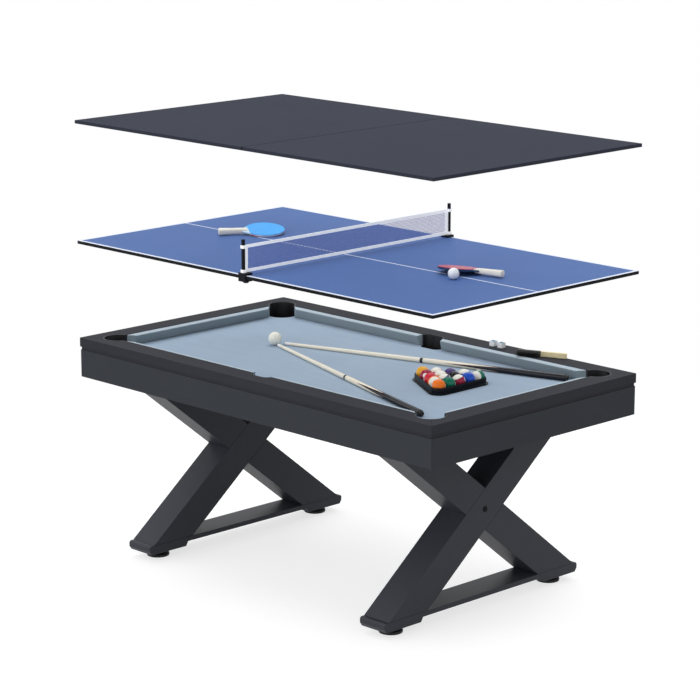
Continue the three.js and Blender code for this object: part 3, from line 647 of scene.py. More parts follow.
rail_look = board_look(
    "rail_laminate", (0.035, 0.036, 0.043), (0.040, 0.041, 0.049), 0.65, 0.03, stretch=LONG_GRAIN
)
apron_look = board_look(
    "apron_laminate", (0.041, 0.045, 0.052), (0.046, 0.050, 0.058), 0.65, 0.04, stretch=LONG_GRAIN
)
leg_look = board_look("leg_paint", (0.034, 0.036, 0.046), (0.040, 0.042, 0.053), 0.45, 0.16, strength=0.08)
dining_look = board_look(
    "dining_laminate", (0.034, 0.039, 0.055), (0.040, 0.045, 0.063), 0.7, 0.02, LONG_GRAIN, seam=SEAM_EDGE
)
bed_look = board_look("bed_board", (0.020, 0.020, 0.022), (0.032, 0.032, 0.035), 0.8, 0.2, (2, 5, 5), 0.3)
cloth_look = felt_look("playfield_felt", (0.285, 0.378, 0.490), (0.345, 0.444, 0.562))
# Painted light and shade: the cushion felt is a darker, greyer copy of the playfield felt, standing in for
# shade on its undercut faces, and paler where it faces upwards
cushion_painted_light_and_shade_look = felt_look(
    "cushion_painted_light_and_shade_felt", (0.215, 0.265, 0.298), (0.270, 0.328, 0.362), painted_light_top=(0.44, 0.53, 0.61)
)
pocket_look = plastic_look("pocket_plastic", (0.006, 0.006, 0.007), (0.012, 0.012, 0.014), 0.4, 0.35)
rack_look = plastic_look("rack_plastic", (0.003, 0.004, 0.006), (0.005, 0.006, 0.009), 0.25, 0.08)
fitting_look = plastic_look("fitting_plastic", (0.008, 0.008, 0.009), (0.014, 0.014, 0.016), 0.45, 0.2)
clamp_look = plastic_look("clamp_paint", (0.005, 0.006, 0.009), (0.008, 0.009, 0.013), 0.4, 0.08)
steel_look = plastic_look("black_steel", (0.004, 0.004, 0.005), (0.007, 0.007, 0.009), 0.4, 0.1)
# Painted light: the net tape glows a little so that its sides read bright white
tape_look = weave_look("net_tape", (0.93, 0.95, 0.98), (0.97, 0.98, 1.0), painted_glow=0.22)
cord_look = weave_look("net_cord", (0.15, 0.19, 0.50), (0.20, 0.25, 0.60))
brush_look = brush_finish()
handle_look = wood_look("paddle_wood", (0.80, 0.76, 0.66), (0.93, 0.90, 0.82), 0.4, (1, 16, 16), 0.2)
bristle_look = plastic_look("bristle_nylon", grey(0.006), grey(0.014), 0.5)
blue_rubber = plastic_look("blue_rubber", (0.060, 0.38, 0.90), (0.085, 0.45, 0.97), 0.45, 0.08)
red_rubber = plastic_look("red_rubber", (0.40, 0.028, 0.075), (0.52, 0.045, 0.110), 0.3, 0.1)
# Painted shade: the right paddle's underside is the same blue rubber as the left paddle's face, darkened to
# navy to stand in for its shade
underside_rubber_painted_shade = plastic_look("underside_rubber_painted_shade", (0.008, 0.045, 0.150), (0.012, 0.065, 0.200), 0.35, 0.2)
# Painted highlight: the left paddle's edge tape is made pale blue to stand in for the highlight along its
# rim
painted_highlight_edge = plastic_look("pale_edge_tape", (0.42, 0.62, 0.82), (0.55, 0.74, 0.90), 0.4)
navy_edge = plastic_look("navy_edge_tape", (0.008, 0.035, 0.110), (0.012, 0.050, 0.150), 0.4, 0.2)
celluloid_look = plastic_look("celluloid", (0.84, 0.86, 0.90), (0.90, 0.92, 0.95), 0.4)


def mm(*values):
    return Vector(values) * MM


def shift(*values):
    return Matrix.Translation(mm(*values))


def turned(angle, axis="Z"):
    return Matrix.Rotation(angle, 4, axis)


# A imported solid's middle, in metres
def centre(node):
    low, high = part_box(node)
    return (low + high) / 2


def smooth(mesh, degrees):
    mesh.polygons.foreach_set("use_smooth", [True] * len(mesh.polygons))
    mesh.set_sharp_from_angle(angle=math.radians(degrees))


# Makes an object of a mesh in progress, standing at the origin; without an angle its faces stay flat
def made(name, bm, looks=(), degrees=FLAT_ANGLE):
    if degrees:
        bmesh.ops.recalc_face_normals(bm, faces=bm.faces)
    mesh = bpy.data.meshes.new(name)
    bm.to_mesh(mesh)
    bm.free()
    for look in looks:
        mesh.materials.append(look)
    if degrees:
        smooth(mesh, degrees)
    piece = bpy.data.objects.new(name, mesh)
    bpy.context.scene.collection.objects.link(piece)
    return piece


# An object's final mesh, with its modifiers applied
def final_mesh(piece):
    graph = bpy.context.evaluated_depsgraph_get()
    return bpy.data.meshes.new_from_object(piece.evaluated_get(graph))


def settled(piece):
    mesh = final_mesh(piece)
    piece.modifiers.clear()
    piece.data = mesh
    return piece


def carved(piece, cutters, degrees=FLAT_ANGLE):
    for cutter in cutters:
        modifier = piece.modifiers.new("cut", "BOOLEAN")
        modifier.operation = "DIFFERENCE"
        modifier.solver = "EXACT"
        modifier.object = cutter
    settled(piece)
    smooth(piece.data, degrees)
    for cutter in cutters:
        bpy.data.objects.remove(cutter)
    return piece


def rounded(piece, edge, degrees=FLAT_ANGLE, corner=SHARP_CORNER):
    width, facets = EDGES[edge]
    bevel = piece.modifiers.new("edges", "BEVEL")
    bevel.width = width * MM
    bevel.segments = facets
    bevel.limit_method = "ANGLE"
    bevel.angle_limit = math.radians(corner)
    settled(piece)
    smooth(piece.data, degrees)
    piece.modifiers.new("shading", "WEIGHTED_NORMAL").keep_sharp = True
    return settled(piece)


# Stands a finished piece in its place, hands it to its body and hides the solids that it stands for
def hand_over(piece, place, body, slot, *nodes):
    piece.matrix_world = place
    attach(piece, body)
    if nodes:
        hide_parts(*nodes)
    return piece


# Skins rings of points one to the next, with a cap on both ends or closed round to the first ring. A ring of
# one point is a pole.
def skin(bm, rings, capped=True, closed=False, materials=()):
    rings = [[bm.verts.new(mm(*point)) for point in ring] for ring in rings]
    if capped:
        bm.faces.new(rings[0][::-1])
        bm.faces.new(rings[-1])
    following = rings[1:] + rings[:1] if closed else rings[1:]
    steps = len(max(rings, key=len))
    for index, (first, second) in enumerate(zip(rings, following)):
        for i in range(steps):
            j = (i + 1) % steps
            pairs = [(first, i), (first, j), (second, j), (second, i)]
            corners = dict.fromkeys(ring[k % len(ring)] for ring, k in pairs)
            face = bm.faces.new(list(corners))
            if materials:
                face.material_index = materials[index]


def prism(bm, outline, bottom, top):
    skin(bm, [[(x, y, z) for x, y in outline] for z in (bottom, top)])


def prism_piece(name, outline, bottom, top, looks=()):
    bm = bmesh.new()
    prism(bm, outline, bottom, top)
    return made(name, bm, looks)


# A turned form about the z axis, from points of radius, height and material that run along its profile
def turned_piece(name, profile, looks, steps=TURNED_STEPS, degrees=ROUND_ANGLE, carve=None):
    angles = [2 * math.pi * step / steps for step in range(steps)]
    rings = []
    for radius, z, *_ in profile:
        around = [(a, carve(radius, a) if carve else radius) for a in angles]
        ring = [(reach * math.cos(a), reach * math.sin(a), z) for a, reach in around]
        rings.append(ring if radius else [(0, 0, z)])
    bm = bmesh.new()
    skin(bm, rings, capped=False, materials=[point[2] if len(point) > 2 else 0 for point in profile])
    return made(name, bm, looks, degrees)


# Points of a profile, from an outline that tells how far each lies inside a radius, and its height
def within(radius, outline):
    return [(radius - inside, height) for inside, height in outline]


# Threads as a fine zigzag of radius along a shank
def threads(radius, bottom, top, thread, material=0):
    pitch, depth = thread
    count = int(abs(top - bottom) / pitch)
    points = []
    for i in range(count):
        points.append((radius - depth, bottom + (top - bottom) * i / count, material))
        points.append((radius, bottom + (top - bottom) * (i + 0.5) / count, material))
    return points


def arc(x, y, radius, start, end, steps):
    angles = [start + (end - start) * i / steps for i in range(steps + 1)]
    return [(x + radius * math.cos(a), y + radius * math.sin(a)) for a in angles]


def circle(x, y, radius, steps=FINE_STEPS):
    return arc(x, y, radius, 0, 2 * math.pi, steps)[:-1]


def stadium(x, y, length, width):
    reach = (length - width) / 2
    steps = FINE_STEPS // 2
    right = arc(x + reach, y, width / 2, -math.pi / 2, math.pi / 2, steps)
    left = arc(x - reach, y, width / 2, math.pi / 2, 3 * math.pi / 2, steps)
    return right + left


def rectangle(x0, x1, y0, y1):
    return [(x0, y0), (x1, y0), (x1, y1), (x0, y1)]


# The places of the four sides: +x along the side, +y inwards from its outer face
def side_place(angle, away):
    return shift(away * math.sin(angle), -away * math.cos(angle), 0) @ turned(angle)


# Each side's place, half its length, and whether it has a middle pocket
SIDES = {
    "near": (side_place(0, HALF_WIDTH), HALF_LENGTH, True),
    "right": (side_place(math.pi / 2, HALF_LENGTH), HALF_WIDTH, False),
    "far": (side_place(math.pi, HALF_WIDTH), HALF_LENGTH, True),
    "left": (side_place(-math.pi / 2, HALF_LENGTH), HALF_WIDTH, False),
}
ORIGIN = Matrix()


# A section of inward distance and height, run along x between two slanted ends
def run_piece(name, section, start, start_slope, end, end_slope, look):
    bm = bmesh.new()
    first = [(start + start_slope * y, y, z) for y, z in section]
    last = [(end - end_slope * y, y, z) for y, z in section]
    skin(bm, [first, last])
    return made(name, bm, [look])


def pocket_cutters(half, middle, bottom, top):
    radius = CORNER_RADIUS + SEAT_GAP
    outlines = [circle(end * (half - CORNER_CENTRE), CORNER_CENTRE, radius) for end in (-1, 1)]
    if middle:
        outlines.append(stadium(0, MIDDLE_CENTRE, MIDDLE_LENGTH + 2 * SEAT_GAP, MIDDLE_WIDTH + 2 * SEAT_GAP))
    return [prism_piece("cutter", outline, bottom, top) for outline in outlines]


def dress_rails_and_aprons():
    inner = APRON_INSET + APRON_THICKNESS
    rail = [
        (0, RAIL_UNDERSIDE),
        (RAIL_GROOVE, RAIL_UNDERSIDE),
        (RAIL_GROOVE, APRON_TOP + SEAT_GAP),
        (inner, APRON_TOP + SEAT_GAP),
        (inner, CLOTH_TOP + SEAT_GAP),
        (RAIL_WIDTH, CLOTH_TOP + SEAT_GAP),
        (RAIL_WIDTH, RAIL_TOP),
        (0, RAIL_TOP),
    ]
    apron = rectangle(APRON_INSET, inner, APRON_BOTTOM, APRON_TOP)
    for name, (place, half, middle) in SIDES.items():
        end = half - SEAT_GAP
        piece = run_piece(f"{name}_rail_board", rail, -end, MITRE, end, MITRE, rail_look)
        carved(piece, pocket_cutters(half, middle, CLOTH_TOP - OVERRUN, RAIL_TOP + OVERRUN))
        hand_over(rounded(piece, "rail"), place, "table", "rail_board", f"{name}_rail")
        piece = run_piece(f"{name}_apron_board", apron, -end, MITRE, end, MITRE, apron_look)
        hand_over(rounded(piece, "apron"), place, "table", "apron_board", f"{name}_apron")


# Cloth-covered rubber cushions with a rounded nose and slanted jaws
def dress_cushions():
    bottom = CLOTH_TOP + SEAT_GAP
    nose = RAIL_TOP - CUSHION_NOSE_DROP
    section = [
        (SEAT_GAP, bottom),
        (CUSHION_FOOT, bottom),
        (CUSHION_WIDTH, nose - CUSHION_NOSE),
        (CUSHION_WIDTH, nose),
        (SEAT_GAP, RAIL_TOP - CUSHION_TOP_DROP),
    ]
    mouth = math.sqrt(CORNER_RADIUS**2 - CORNER_INSET**2)
    corner_slope = 1 / math.tan(CORNER_JAW)
    middle_slope = 1 / math.tan(MIDDLE_JAW)
    middle_end = MIDDLE_LENGTH / 2 + CUSHION_END_GAP
    for name, (place, half, middle) in SIDES.items():
        corner_end = half - CORNER_CENTRE - mouth - CUSHION_END_GAP
        runs = {f"{name}_cushion": (-corner_end, corner_slope, corner_end, corner_slope)}
        if middle:
            runs = {
                f"{name}_cushion_a": (-corner_end, corner_slope, -middle_end, middle_slope),
                f"{name}_cushion_b": (middle_end, middle_slope, corner_end, corner_slope),
            }
        for node, run in runs.items():
            piece = run_piece(f"{node}_felt", section, *run, cushion_painted_light_and_shade_look)
            rounded(piece, "cushion", ROUND_ANGLE)
            hand_over(piece, place @ shift(0, RAIL_WIDTH, 0), "table", "cushion_cloth", node)


def dress_pockets():
    top = RAIL_TOP - POCKET_LIP_DROP
    bottom = CLOTH_TOP - POCKET_DEPTH
    rise = RAIL_TOP + OVERRUN

    def cup(name, outer, inner, keep_out, place):
        piece = prism_piece(f"{name}_cup", outer, bottom, top, [pocket_look])
        hollow = prism_piece("cutter", inner, bottom + POCKET_FLOOR, rise)
        carved(piece, [hollow, prism_piece("cutter", keep_out, CLOTH_TOP, rise)])
        hand_over(rounded(piece, "pocket"), place, "table", "black_plastic", f"{name}_pocket")

    reach = CORNER_RADIUS + OVERRUN
    corner_box = rectangle(-reach, CORNER_INSET, -reach, CORNER_INSET)
    outer = circle(0, 0, CORNER_RADIUS)
    inner = circle(0, 0, CORNER_RADIUS - POCKET_WALL)
    corners = {
        "far_right": (1, 1, 0),
        "far_left": (-1, 1, math.pi / 2),
        "near_left": (-1, -1, math.pi),
        "near_right": (1, -1, -math.pi / 2),
    }
    for name, (x, y, angle) in corners.items():
        place = shift(x * (HALF_LENGTH - CORNER_CENTRE), y * (HALF_WIDTH - CORNER_CENTRE), 0)
        cup(name, outer, inner, corner_box, place @ turned(angle))
    reach = MIDDLE_LENGTH / 2 + OVERRUN
    keep_out = rectangle(-reach, reach, RAIL_WIDTH - MIDDLE_CENTRE, MIDDLE_WIDTH)
    outer = stadium(0, 0, MIDDLE_LENGTH, MIDDLE_WIDTH)
    inner = stadium(0, 0, MIDDLE_LENGTH - 2 * POCKET_WALL, MIDDLE_WIDTH - 2 * POCKET_WALL)
    for name in ("near", "far"):
        cup(f"{name}_middle", outer, inner, keep_out, SIDES[name][0] @ shift(0, MIDDLE_CENTRE, 0))


# The cloth is one sheet, glued flat over the bed and cut out for the pockets
def dress_playfield():
    inset = APRON_INSET + APRON_THICKNESS + SEAT_GAP
    half_length = HALF_LENGTH - inset
    half_width = HALF_WIDTH - inset
    outline = rectangle(-half_length, half_length, -half_width, half_width)
    piece = prism_piece("playfield_felt", outline, CLOTH_TOP - CLOTH_THICKNESS, CLOTH_TOP, [cloth_look])
    cutters = []
    for name in ("near", "far"):
        place, half, middle = SIDES[name]
        for cutter in pocket_cutters(half, middle, CLOTH_TOP - OVERRUN, CLOTH_TOP + OVERRUN):
            cutter.matrix_world = place
            cutters.append(cutter)
    bpy.context.view_layer.update()
    carved(piece, cutters)
    hand_over(piece, ORIGIN, "table", "billiard_cloth", "playfield_cloth")


def dress_bed():
    for slot_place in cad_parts["playfield_bed"].material_slots:
        slot_place.material = bed_look


# A copy of a plain board of the model with its faces made whole and its edges eased
def eased(node, name, edge, look, body, slot):
    bm = bmesh.new()
    bm.from_mesh(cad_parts[node].data)
    bmesh.ops.remove_doubles(bm, verts=bm.verts, dist=WELD_METRES)
    bmesh.ops.dissolve_limit(bm, angle_limit=FLAT_RADIANS, verts=bm.verts, edges=bm.edges)
    return hand_over(rounded(made(name, bm, [look]), edge), ORIGIN, body, slot, node)


def dress_legs():
    for side, _ in ENDS:
        for part in ("through_beam", "upper_beam", "lower_beam", "base", "top_bar"):
            node = f"{side}_leg_{part}"
            edge = "bar" if part == "top_bar" else "beam"
            eased(node, f"{node}_board", edge, leg_look, "table", "leg_board")


def dress_tops():
    tennis = tennis_look()
    for side, _ in ENDS:
        eased(f"tennis_top_{side}", f"tennis_board_{side}", "tennis", tennis, "tennis_board", "tennis_board")
        body = f"dining_board_{side}"
        eased(f"dining_top_{side}", f"dining_panel_{side}", "dining", dining_look, body, "dining_board")


def dress_feet():
    profile = [
        (0, 0),
        *within(FOOT_DISC_RADIUS, FOOT_DISC_OUTLINE),
        *within(FOOT_NECK_RADIUS, FOOT_NECK_OUTLINE),
        (FOOT_NECK_RADIUS - FOOT_EASE, FOOT_NECK_TOP, 1),
        *threads(FOOT_STEM_RADIUS, FOOT_NECK_TOP, FOOT_STEM_TOP - FOOT_EASE, FOOT_THREAD, material=1),
        (FOOT_STEM_RADIUS - FOOT_EASE, FOOT_STEM_TOP, 1),
        (0, FOOT_STEM_TOP, 1),
    ]
    for side, _ in ENDS:
        for end in ("near", "far"):
            node = f"{side}_{end}_foot"
            piece = turned_piece(f"{node}_glide", profile, [fitting_look, steel_look])
            x, y, _ = centre(node)
            place = Matrix.Translation((x, y, 0))
            hand_over(piece, place, f"{side}_{end}_levelling_foot", "foot_plastic", node)


# A domed cap head with a hexagon socket, on a threaded shank
def dress_bolts():
    for side, sign in ENDS:
        node = f"{side}_leg_bolt"
        low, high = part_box(node)
        shank = (high.x - low.x) / MM - BOLT_HEAD_HEIGHT
        profile = [
            (0, -shank),
            (BOLT_SHANK_RADIUS, -shank),
            *threads(BOLT_SHANK_RADIUS, BOLT_POINT - shank, -shank / 2, BOLT_THREAD),
            (BOLT_SHANK_RADIUS, SEAT_GAP),
            *within(BOLT_HEAD_RADIUS, BOLT_HEAD_OUTLINE),
            (0, BOLT_HEAD_HEIGHT),
        ]
        piece = turned_piece(f"{node}_screw", profile, [steel_look])
        socket = circle(0, 0, BOLT_SOCKET, HEXAGON)
        cutter = prism_piece("cutter", socket, BOLT_SOCKET_FLOOR, BOLT_HEAD_HEIGHT + OVERRUN)
        carved(piece, [cutter], ROUND_ANGLE)
        outer = high.x if sign > 0 else low.x
        _, y, z = centre(node)
        place = Matrix.Translation((outer - sign * BOLT_HEAD_HEIGHT * MM, y, z))
        hand_over(piece, place @ turned(sign * math.pi / 2, "Y"), "table", "black_steel", node)


# Painted fillers over the inner ends of the centre bolts
def dress_fillers():
    profile = [
        (0, -FILLER_DEPTH),
        (FILLER_RADIUS, -FILLER_DEPTH),
        (FILLER_RADIUS, -FILLER_EASE),
        (FILLER_RADIUS - FILLER_EASE, -FILLER_SINK),
        (0, -FILLER_SINK),
    ]
    for side, sign in ENDS:
        node = f"{side}_leg_through_beam"
        low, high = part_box(node)
        piece = turned_piece(f"{side}_leg_bolt_filler", profile, [leg_look])
        _, y, z = centre(f"{side}_leg_bolt")
        place = Matrix.Translation((low.x if sign > 0 else high.x, y, z))
        hand_over(piece, place @ turned(-sign * math.pi / 2, "Y"), "table", "leg_board", node)


# The net: fine crossing cords, sewn tapes all round and a loop round each post at the top and bottom tapes
def dress_net():
    loop_hole = POST_SIZE / 2 + LOOP_GAP
    loop_outer = loop_hole + LOOP_WALL
    post_place = HALF_WIDTH - POST_INSET
    half_span = post_place - loop_hole
    half_mesh = half_span - NET_SIDE_TAPE
    mesh_bottom = NET_BOTTOM + NET_TAPE
    mesh_top = NET_BOTTOM + NET_HEIGHT - NET_TAPE
    half_cord = NET_CORD / 2
    lap = NET_TAPE * NET_LAP_SHARE
    bm = bmesh.new()
    for column in range(1, NET_COLUMNS):
        y = half_mesh * (2 * column / NET_COLUMNS - 1)
        outline = rectangle(-half_cord, half_cord, y - half_cord, y + half_cord)
        prism(bm, outline, mesh_bottom - lap, mesh_top + lap)
    for row in range(1, NET_ROWS):
        z = mesh_bottom + (mesh_top - mesh_bottom) * row / NET_ROWS
        outline = rectangle(-half_cord, half_cord, -half_mesh - lap, half_mesh + lap)
        prism(bm, outline, z - half_cord, z + half_cord)
    cords = made("net_mesh", bm, [cord_look])

    half_tape = NET_TAPE_THICKNESS / 2
    half_side = half_tape * SIDE_TAPE_SHARE
    bm = bmesh.new()
    for bottom in (NET_BOTTOM, mesh_top):
        prism(bm, rectangle(-half_tape, half_tape, -half_span, half_span), bottom, bottom + NET_TAPE)
    for y in (-half_span, half_mesh):
        outline = rectangle(-half_side, half_side, y, y + NET_SIDE_TAPE)
        prism(bm, outline, mesh_bottom - lap, mesh_top + lap)
    for y in (-post_place, post_place):
        for bottom in (NET_BOTTOM, mesh_top):
            for outline in (
                rectangle(-loop_outer, loop_outer, y + loop_hole, y + loop_outer),
                rectangle(-loop_outer, loop_outer, y - loop_outer, y - loop_hole),
                rectangle(-loop_outer, -loop_hole, y - loop_hole, y + loop_hole),
                rectangle(loop_hole, loop_outer, y - loop_hole, y + loop_hole),
            ):
                prism(bm, outline, bottom, bottom + NET_TAPE)
    tapes = rounded(made("net_tapes", bm, [tape_look]), "tape")
    hand_over(tapes, ORIGIN, "net", "net_fabric", "tennis_net")
    hand_over(cords, ORIGIN, "net", "net_fabric", "tennis_net")
    for side in ("near", "far"):
        node = f"{side}_net_clamp"
        eased(node, f"{side}_net_bracket", "bracket", clamp_look, "tennis_board", "clamp_metal")


def dress_clamp_screws():
    pad_bottom = SCREW_PAD_TOP - SCREW_PAD_THICKNESS
    profile = [
        (0, SCREW_KNOB_BOTTOM),
        (SCREW_KNOB_RADIUS - SCREW_KNOB_EASE, SCREW_KNOB_BOTTOM),
        (SCREW_KNOB_RADIUS, SCREW_KNOB_BOTTOM + SCREW_KNOB_EASE_HEIGHT),
        (SCREW_KNOB_RADIUS, SCREW_KNOB_TOP - SCREW_KNOB_EASE_HEIGHT),
        (SCREW_KNOB_RADIUS - SCREW_KNOB_EASE, SCREW_KNOB_TOP, 1),
        *threads(SCREW_SHANK_RADIUS, SCREW_KNOB_TOP, pad_bottom, SCREW_THREAD, material=1),
        (SCREW_PAD_RADIUS, pad_bottom),
        (SCREW_PAD_RADIUS, SCREW_PAD_TOP - SCREW_PAD_EASE),
        (SCREW_PAD_RADIUS - SCREW_PAD_EASE, SCREW_PAD_TOP),
        (0, SCREW_PAD_TOP),
    ]

    def fluted(radius, angle):
        if radius < SCREW_FLUTED_FROM:
            return radius
        return radius - SCREW_FLUTE_DEPTH * (0.5 + 0.5 * math.cos(SCREW_FLUTES * angle)) ** 2

    for name in ("near", "far"):
        looks = [fitting_look, steel_look]
        piece = turned_piece(f"{name}_thumb_screw", profile, looks, FINE_STEPS, KNOB_ANGLE, fluted)
        place = SIDES[name][0] @ shift(0, SCREW_INSET, 0)
        hand_over(piece, place, f"{name}_screw", "black_plastic", f"{name}_clamp_screw")


# A ball from a cube whose faces are divided and pushed out to the sphere
def ball_piece(name, radius, look):
    bm = bmesh.new()
    bmesh.ops.create_cube(bm, size=2)
    bmesh.ops.subdivide_edges(bm, edges=bm.edges, cuts=BALL_CUTS, use_grid_fill=True)
    for vert in bm.verts:
        bulge = Vector([math.tan(value * math.pi / 4) for value in vert.co])
        vert.co = bulge.normalized() * radius * MM
    return made(name, bm, [look], ALL_ROUND)


# The ball's number, cut from thin sheet and laid over the spot at each end of the ball's x axis
def numeral(name, number, place):
    curve = bpy.data.curves.new(f"{name}_type", "FONT")
    curve.body = str(number)
    curve.size = NUMERAL_SIZE * MM
    curve.align_x = "CENTER"
    curve.align_y = "CENTER"
    holder = bpy.data.objects.new("type", curve)
    bpy.context.scene.collection.objects.link(holder)
    bm = bmesh.new()
    bm.from_mesh(final_mesh(holder))
    bpy.data.objects.remove(holder)
    bmesh.ops.triangulate(bm, faces=bm.faces)
    bmesh.ops.subdivide_edges(bm, edges=bm.edges, cuts=NUMERAL_CUTS, use_grid_fill=True)
    for vert in bm.verts:
        outward = Vector((BALL_RADIUS * MM, vert.co.x, vert.co.y)).normalized()
        vert.co = outward * NUMERAL_RADIUS * MM
    copy = bmesh.ops.duplicate(bm, geom=[*bm.verts, *bm.edges, *bm.faces])["geom"]
    copied = [item for item in copy if isinstance(item, bmesh.types.BMVert)]
    bmesh.ops.rotate(bm, verts=copied, matrix=Matrix.Rotation(math.pi, 3, "Z"))
    piece = made(f"{name}_numeral", bm, [rack_look], degrees=None)
    hand_over(piece, place, "object_balls", "ball_resin")


def dress_racked_balls():
    low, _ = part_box("racked_balls")
    _, middle_y, z = centre("racked_balls")
    for row, balls in enumerate(RACKED):
        for column, (number, heading, tilt) in enumerate(balls):
            striped = number >= STRIPED_FROM
            colour = BALL_COLOURS[number - 8 if striped else number]
            look = ball_look(f"ball_{number}_resin", colour, striped)
            piece = ball_piece(f"ball_{number}", RACKED_RADIUS, look)
            x = low.x + (BALL_RADIUS + row * ROW_PITCH) * MM
            y = middle_y + (column - row / 2) * BALL_PITCH * MM
            aim = turned(math.radians(heading)) @ turned(math.radians(-tilt), "Y")
            place = Matrix.Translation((x, y, z)) @ aim
            hand_over(piece, place, "object_balls", "ball_resin", "racked_balls")
            numeral(f"ball_{number}", number, place)


def triangle_outline(radius):
    reach = RACK_SIDE / math.sqrt(3)
    points = []
    for corner in range(3):
        middle = math.pi + corner * 2 * math.pi / 3
        x = reach * math.cos(middle)
        y = reach * math.sin(middle)
        points += arc(x, y, radius, middle - math.pi / 3, middle + math.pi / 3, RACK_STEPS)
    return points


def dress_rack():
    inner = BALL_RADIUS + RACK_CLEARANCE
    bottom = CLOTH_TOP + SEAT_GAP
    lip = RACK_WALL + RACK_LIP
    section = [
        (0, 0),
        (lip - RACK_LIP_EASE, 0),
        (lip, RACK_LIP_EASE),
        (lip, RACK_LIP_HEIGHT - RACK_LIP_EASE),
        (lip - RACK_LIP_EASE, RACK_LIP_HEIGHT),
        (RACK_WALL + RACK_FILLET, RACK_LIP_HEIGHT),
        (RACK_WALL, RACK_LIP_HEIGHT + RACK_FILLET),
        (RACK_WALL - RACK_TAPER, RACK_HEIGHT - RACK_FILLET),
        (RACK_WALL - RACK_TAPER - RACK_RIM, RACK_HEIGHT),
        (RACK_RIM, RACK_HEIGHT),
        (0, RACK_HEIGHT - RACK_RIM),
    ]
    rings = [[(x, y, bottom + up) for x, y in triangle_outline(inner + out)] for out, up in section]
    bm = bmesh.new()
    skin(bm, rings, capped=False, closed=True)
    piece = made("triangle_rack", bm, [rack_look], ROUND_ANGLE)
    low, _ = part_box("racked_balls")
    x = low.x + (BALL_RADIUS + RACK_SIDE / math.sqrt(3)) * MM
    place = Matrix.Translation((x, centre("racked_balls").y, 0))
    hand_over(piece, place, "rack", "black_plastic", "ball_rack")


def dress_cue_ball():
    piece = ball_piece("white_ball", BALL_RADIUS, cue_ball_look())
    hand_over(piece, Matrix.Translation(centre("cue_ball")), "white_ball", "white_resin", "cue_ball")


# The two ends of a turned node's axis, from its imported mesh: the butt's, then the tip's
def axis_ends(node):
    points = np.array([v.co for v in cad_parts[node].data.vertices])
    middle = points.mean(0)
    direction = np.linalg.svd(points - middle)[2][0]
    along = (points - middle) @ direction
    ends = []
    for extreme in (along.min(), along.max()):
        ring = points[np.abs(along - extreme) < MM]
        ends.append((ring.mean(0), np.linalg.norm(ring - ring.mean(0), axis=1).max()))
    ends.sort(key=lambda end: -end[1])
    return Vector(ends[0][0]), Vector(ends[1][0])


def dress_cues():
    look = cue_look()
    ring = CUE_RING_RADIUS + CUE_RING_PROUD
    profile = [
        (0, 0),
        (CUE_BUMPER_RADIUS - CUE_BUMPER_EASE, 0),
        (CUE_BUMPER_RADIUS, CUE_BUMPER_EASE),
        (CUE_BUMPER_RADIUS + CUE_BUMPER_FLARE, CUE_BUMPER_LENGTH - CUE_BUTT_EASE),
        (CUE_BUTT_RADIUS - CUE_BUTT_EASE, CUE_BUMPER_LENGTH),
        (CUE_BUTT_RADIUS, CUE_BUMPER_LENGTH + CUE_BUTT_EASE_LENGTH),
        (ring, CUE_MIDDLE - CUE_RING_HALF),
        (ring, CUE_MIDDLE + CUE_RING_HALF),
        (CUE_RING_RADIUS, CUE_MIDDLE + CUE_RING_HALF + CUE_BUTT_EASE),
        *[(CUE_TIP_RADIUS - inside, CUE_LENGTH - short) for inside, short in CUE_TIP_OUTLINE],
        (0, CUE_LENGTH),
    ]
    for side, roll in CUE_ROLLS.items():
        node = f"{side}_cue"
        piece = turned_piece(f"{node}_stick", profile, [look], SMALL_STEPS)
        butt, tip = axis_ends(node)
        aim = (tip - butt).to_track_quat("Z", "Y").to_matrix().to_4x4()
        hand_over(piece, Matrix.Translation(butt) @ aim @ turned(roll), f"cue_{side}", "cue_wood", node)


def dress_chalks():
    look = chalk_look()
    half = CHALK_SIZE / 2
    for side, _ in ENDS:
        node = f"{side}_chalk"
        low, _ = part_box(node)
        piece = prism_piece(f"{node}_cube", rectangle(-half, half, -half, half), 0, CHALK_SIZE, [look])
        rounded(piece, "chalk")
        dimple = ball_piece("cutter", CHALK_DIMPLE_RADIUS, look)
        dimple.location = mm(0, 0, CHALK_SIZE - CHALK_DIMPLE_DEPTH + CHALK_DIMPLE_RADIUS)
        bpy.context.view_layer.update()
        carved(piece, [dimple], ROUND_ANGLE)
        x, y, _ = centre(node)
        hand_over(piece, Matrix.Translation((x, y, low.z)), f"chalk_{side}", "chalk", node)


# A thin taper from its root to its tip
def bristle(bm, root, tip):
    angles = [2 * math.pi * i / BRISTLE_SIDES for i in range(BRISTLE_SIDES)]
    rings = []
    for (x, y, z), reach in ((root, BRISTLE_RADIUS), (tip, BRISTLE_RADIUS * BRISTLE_TIP_SHARE)):
        rings.append([(x + reach * math.cos(a), y, z + reach * math.sin(a)) for a in angles])
    skin(bm, rings)


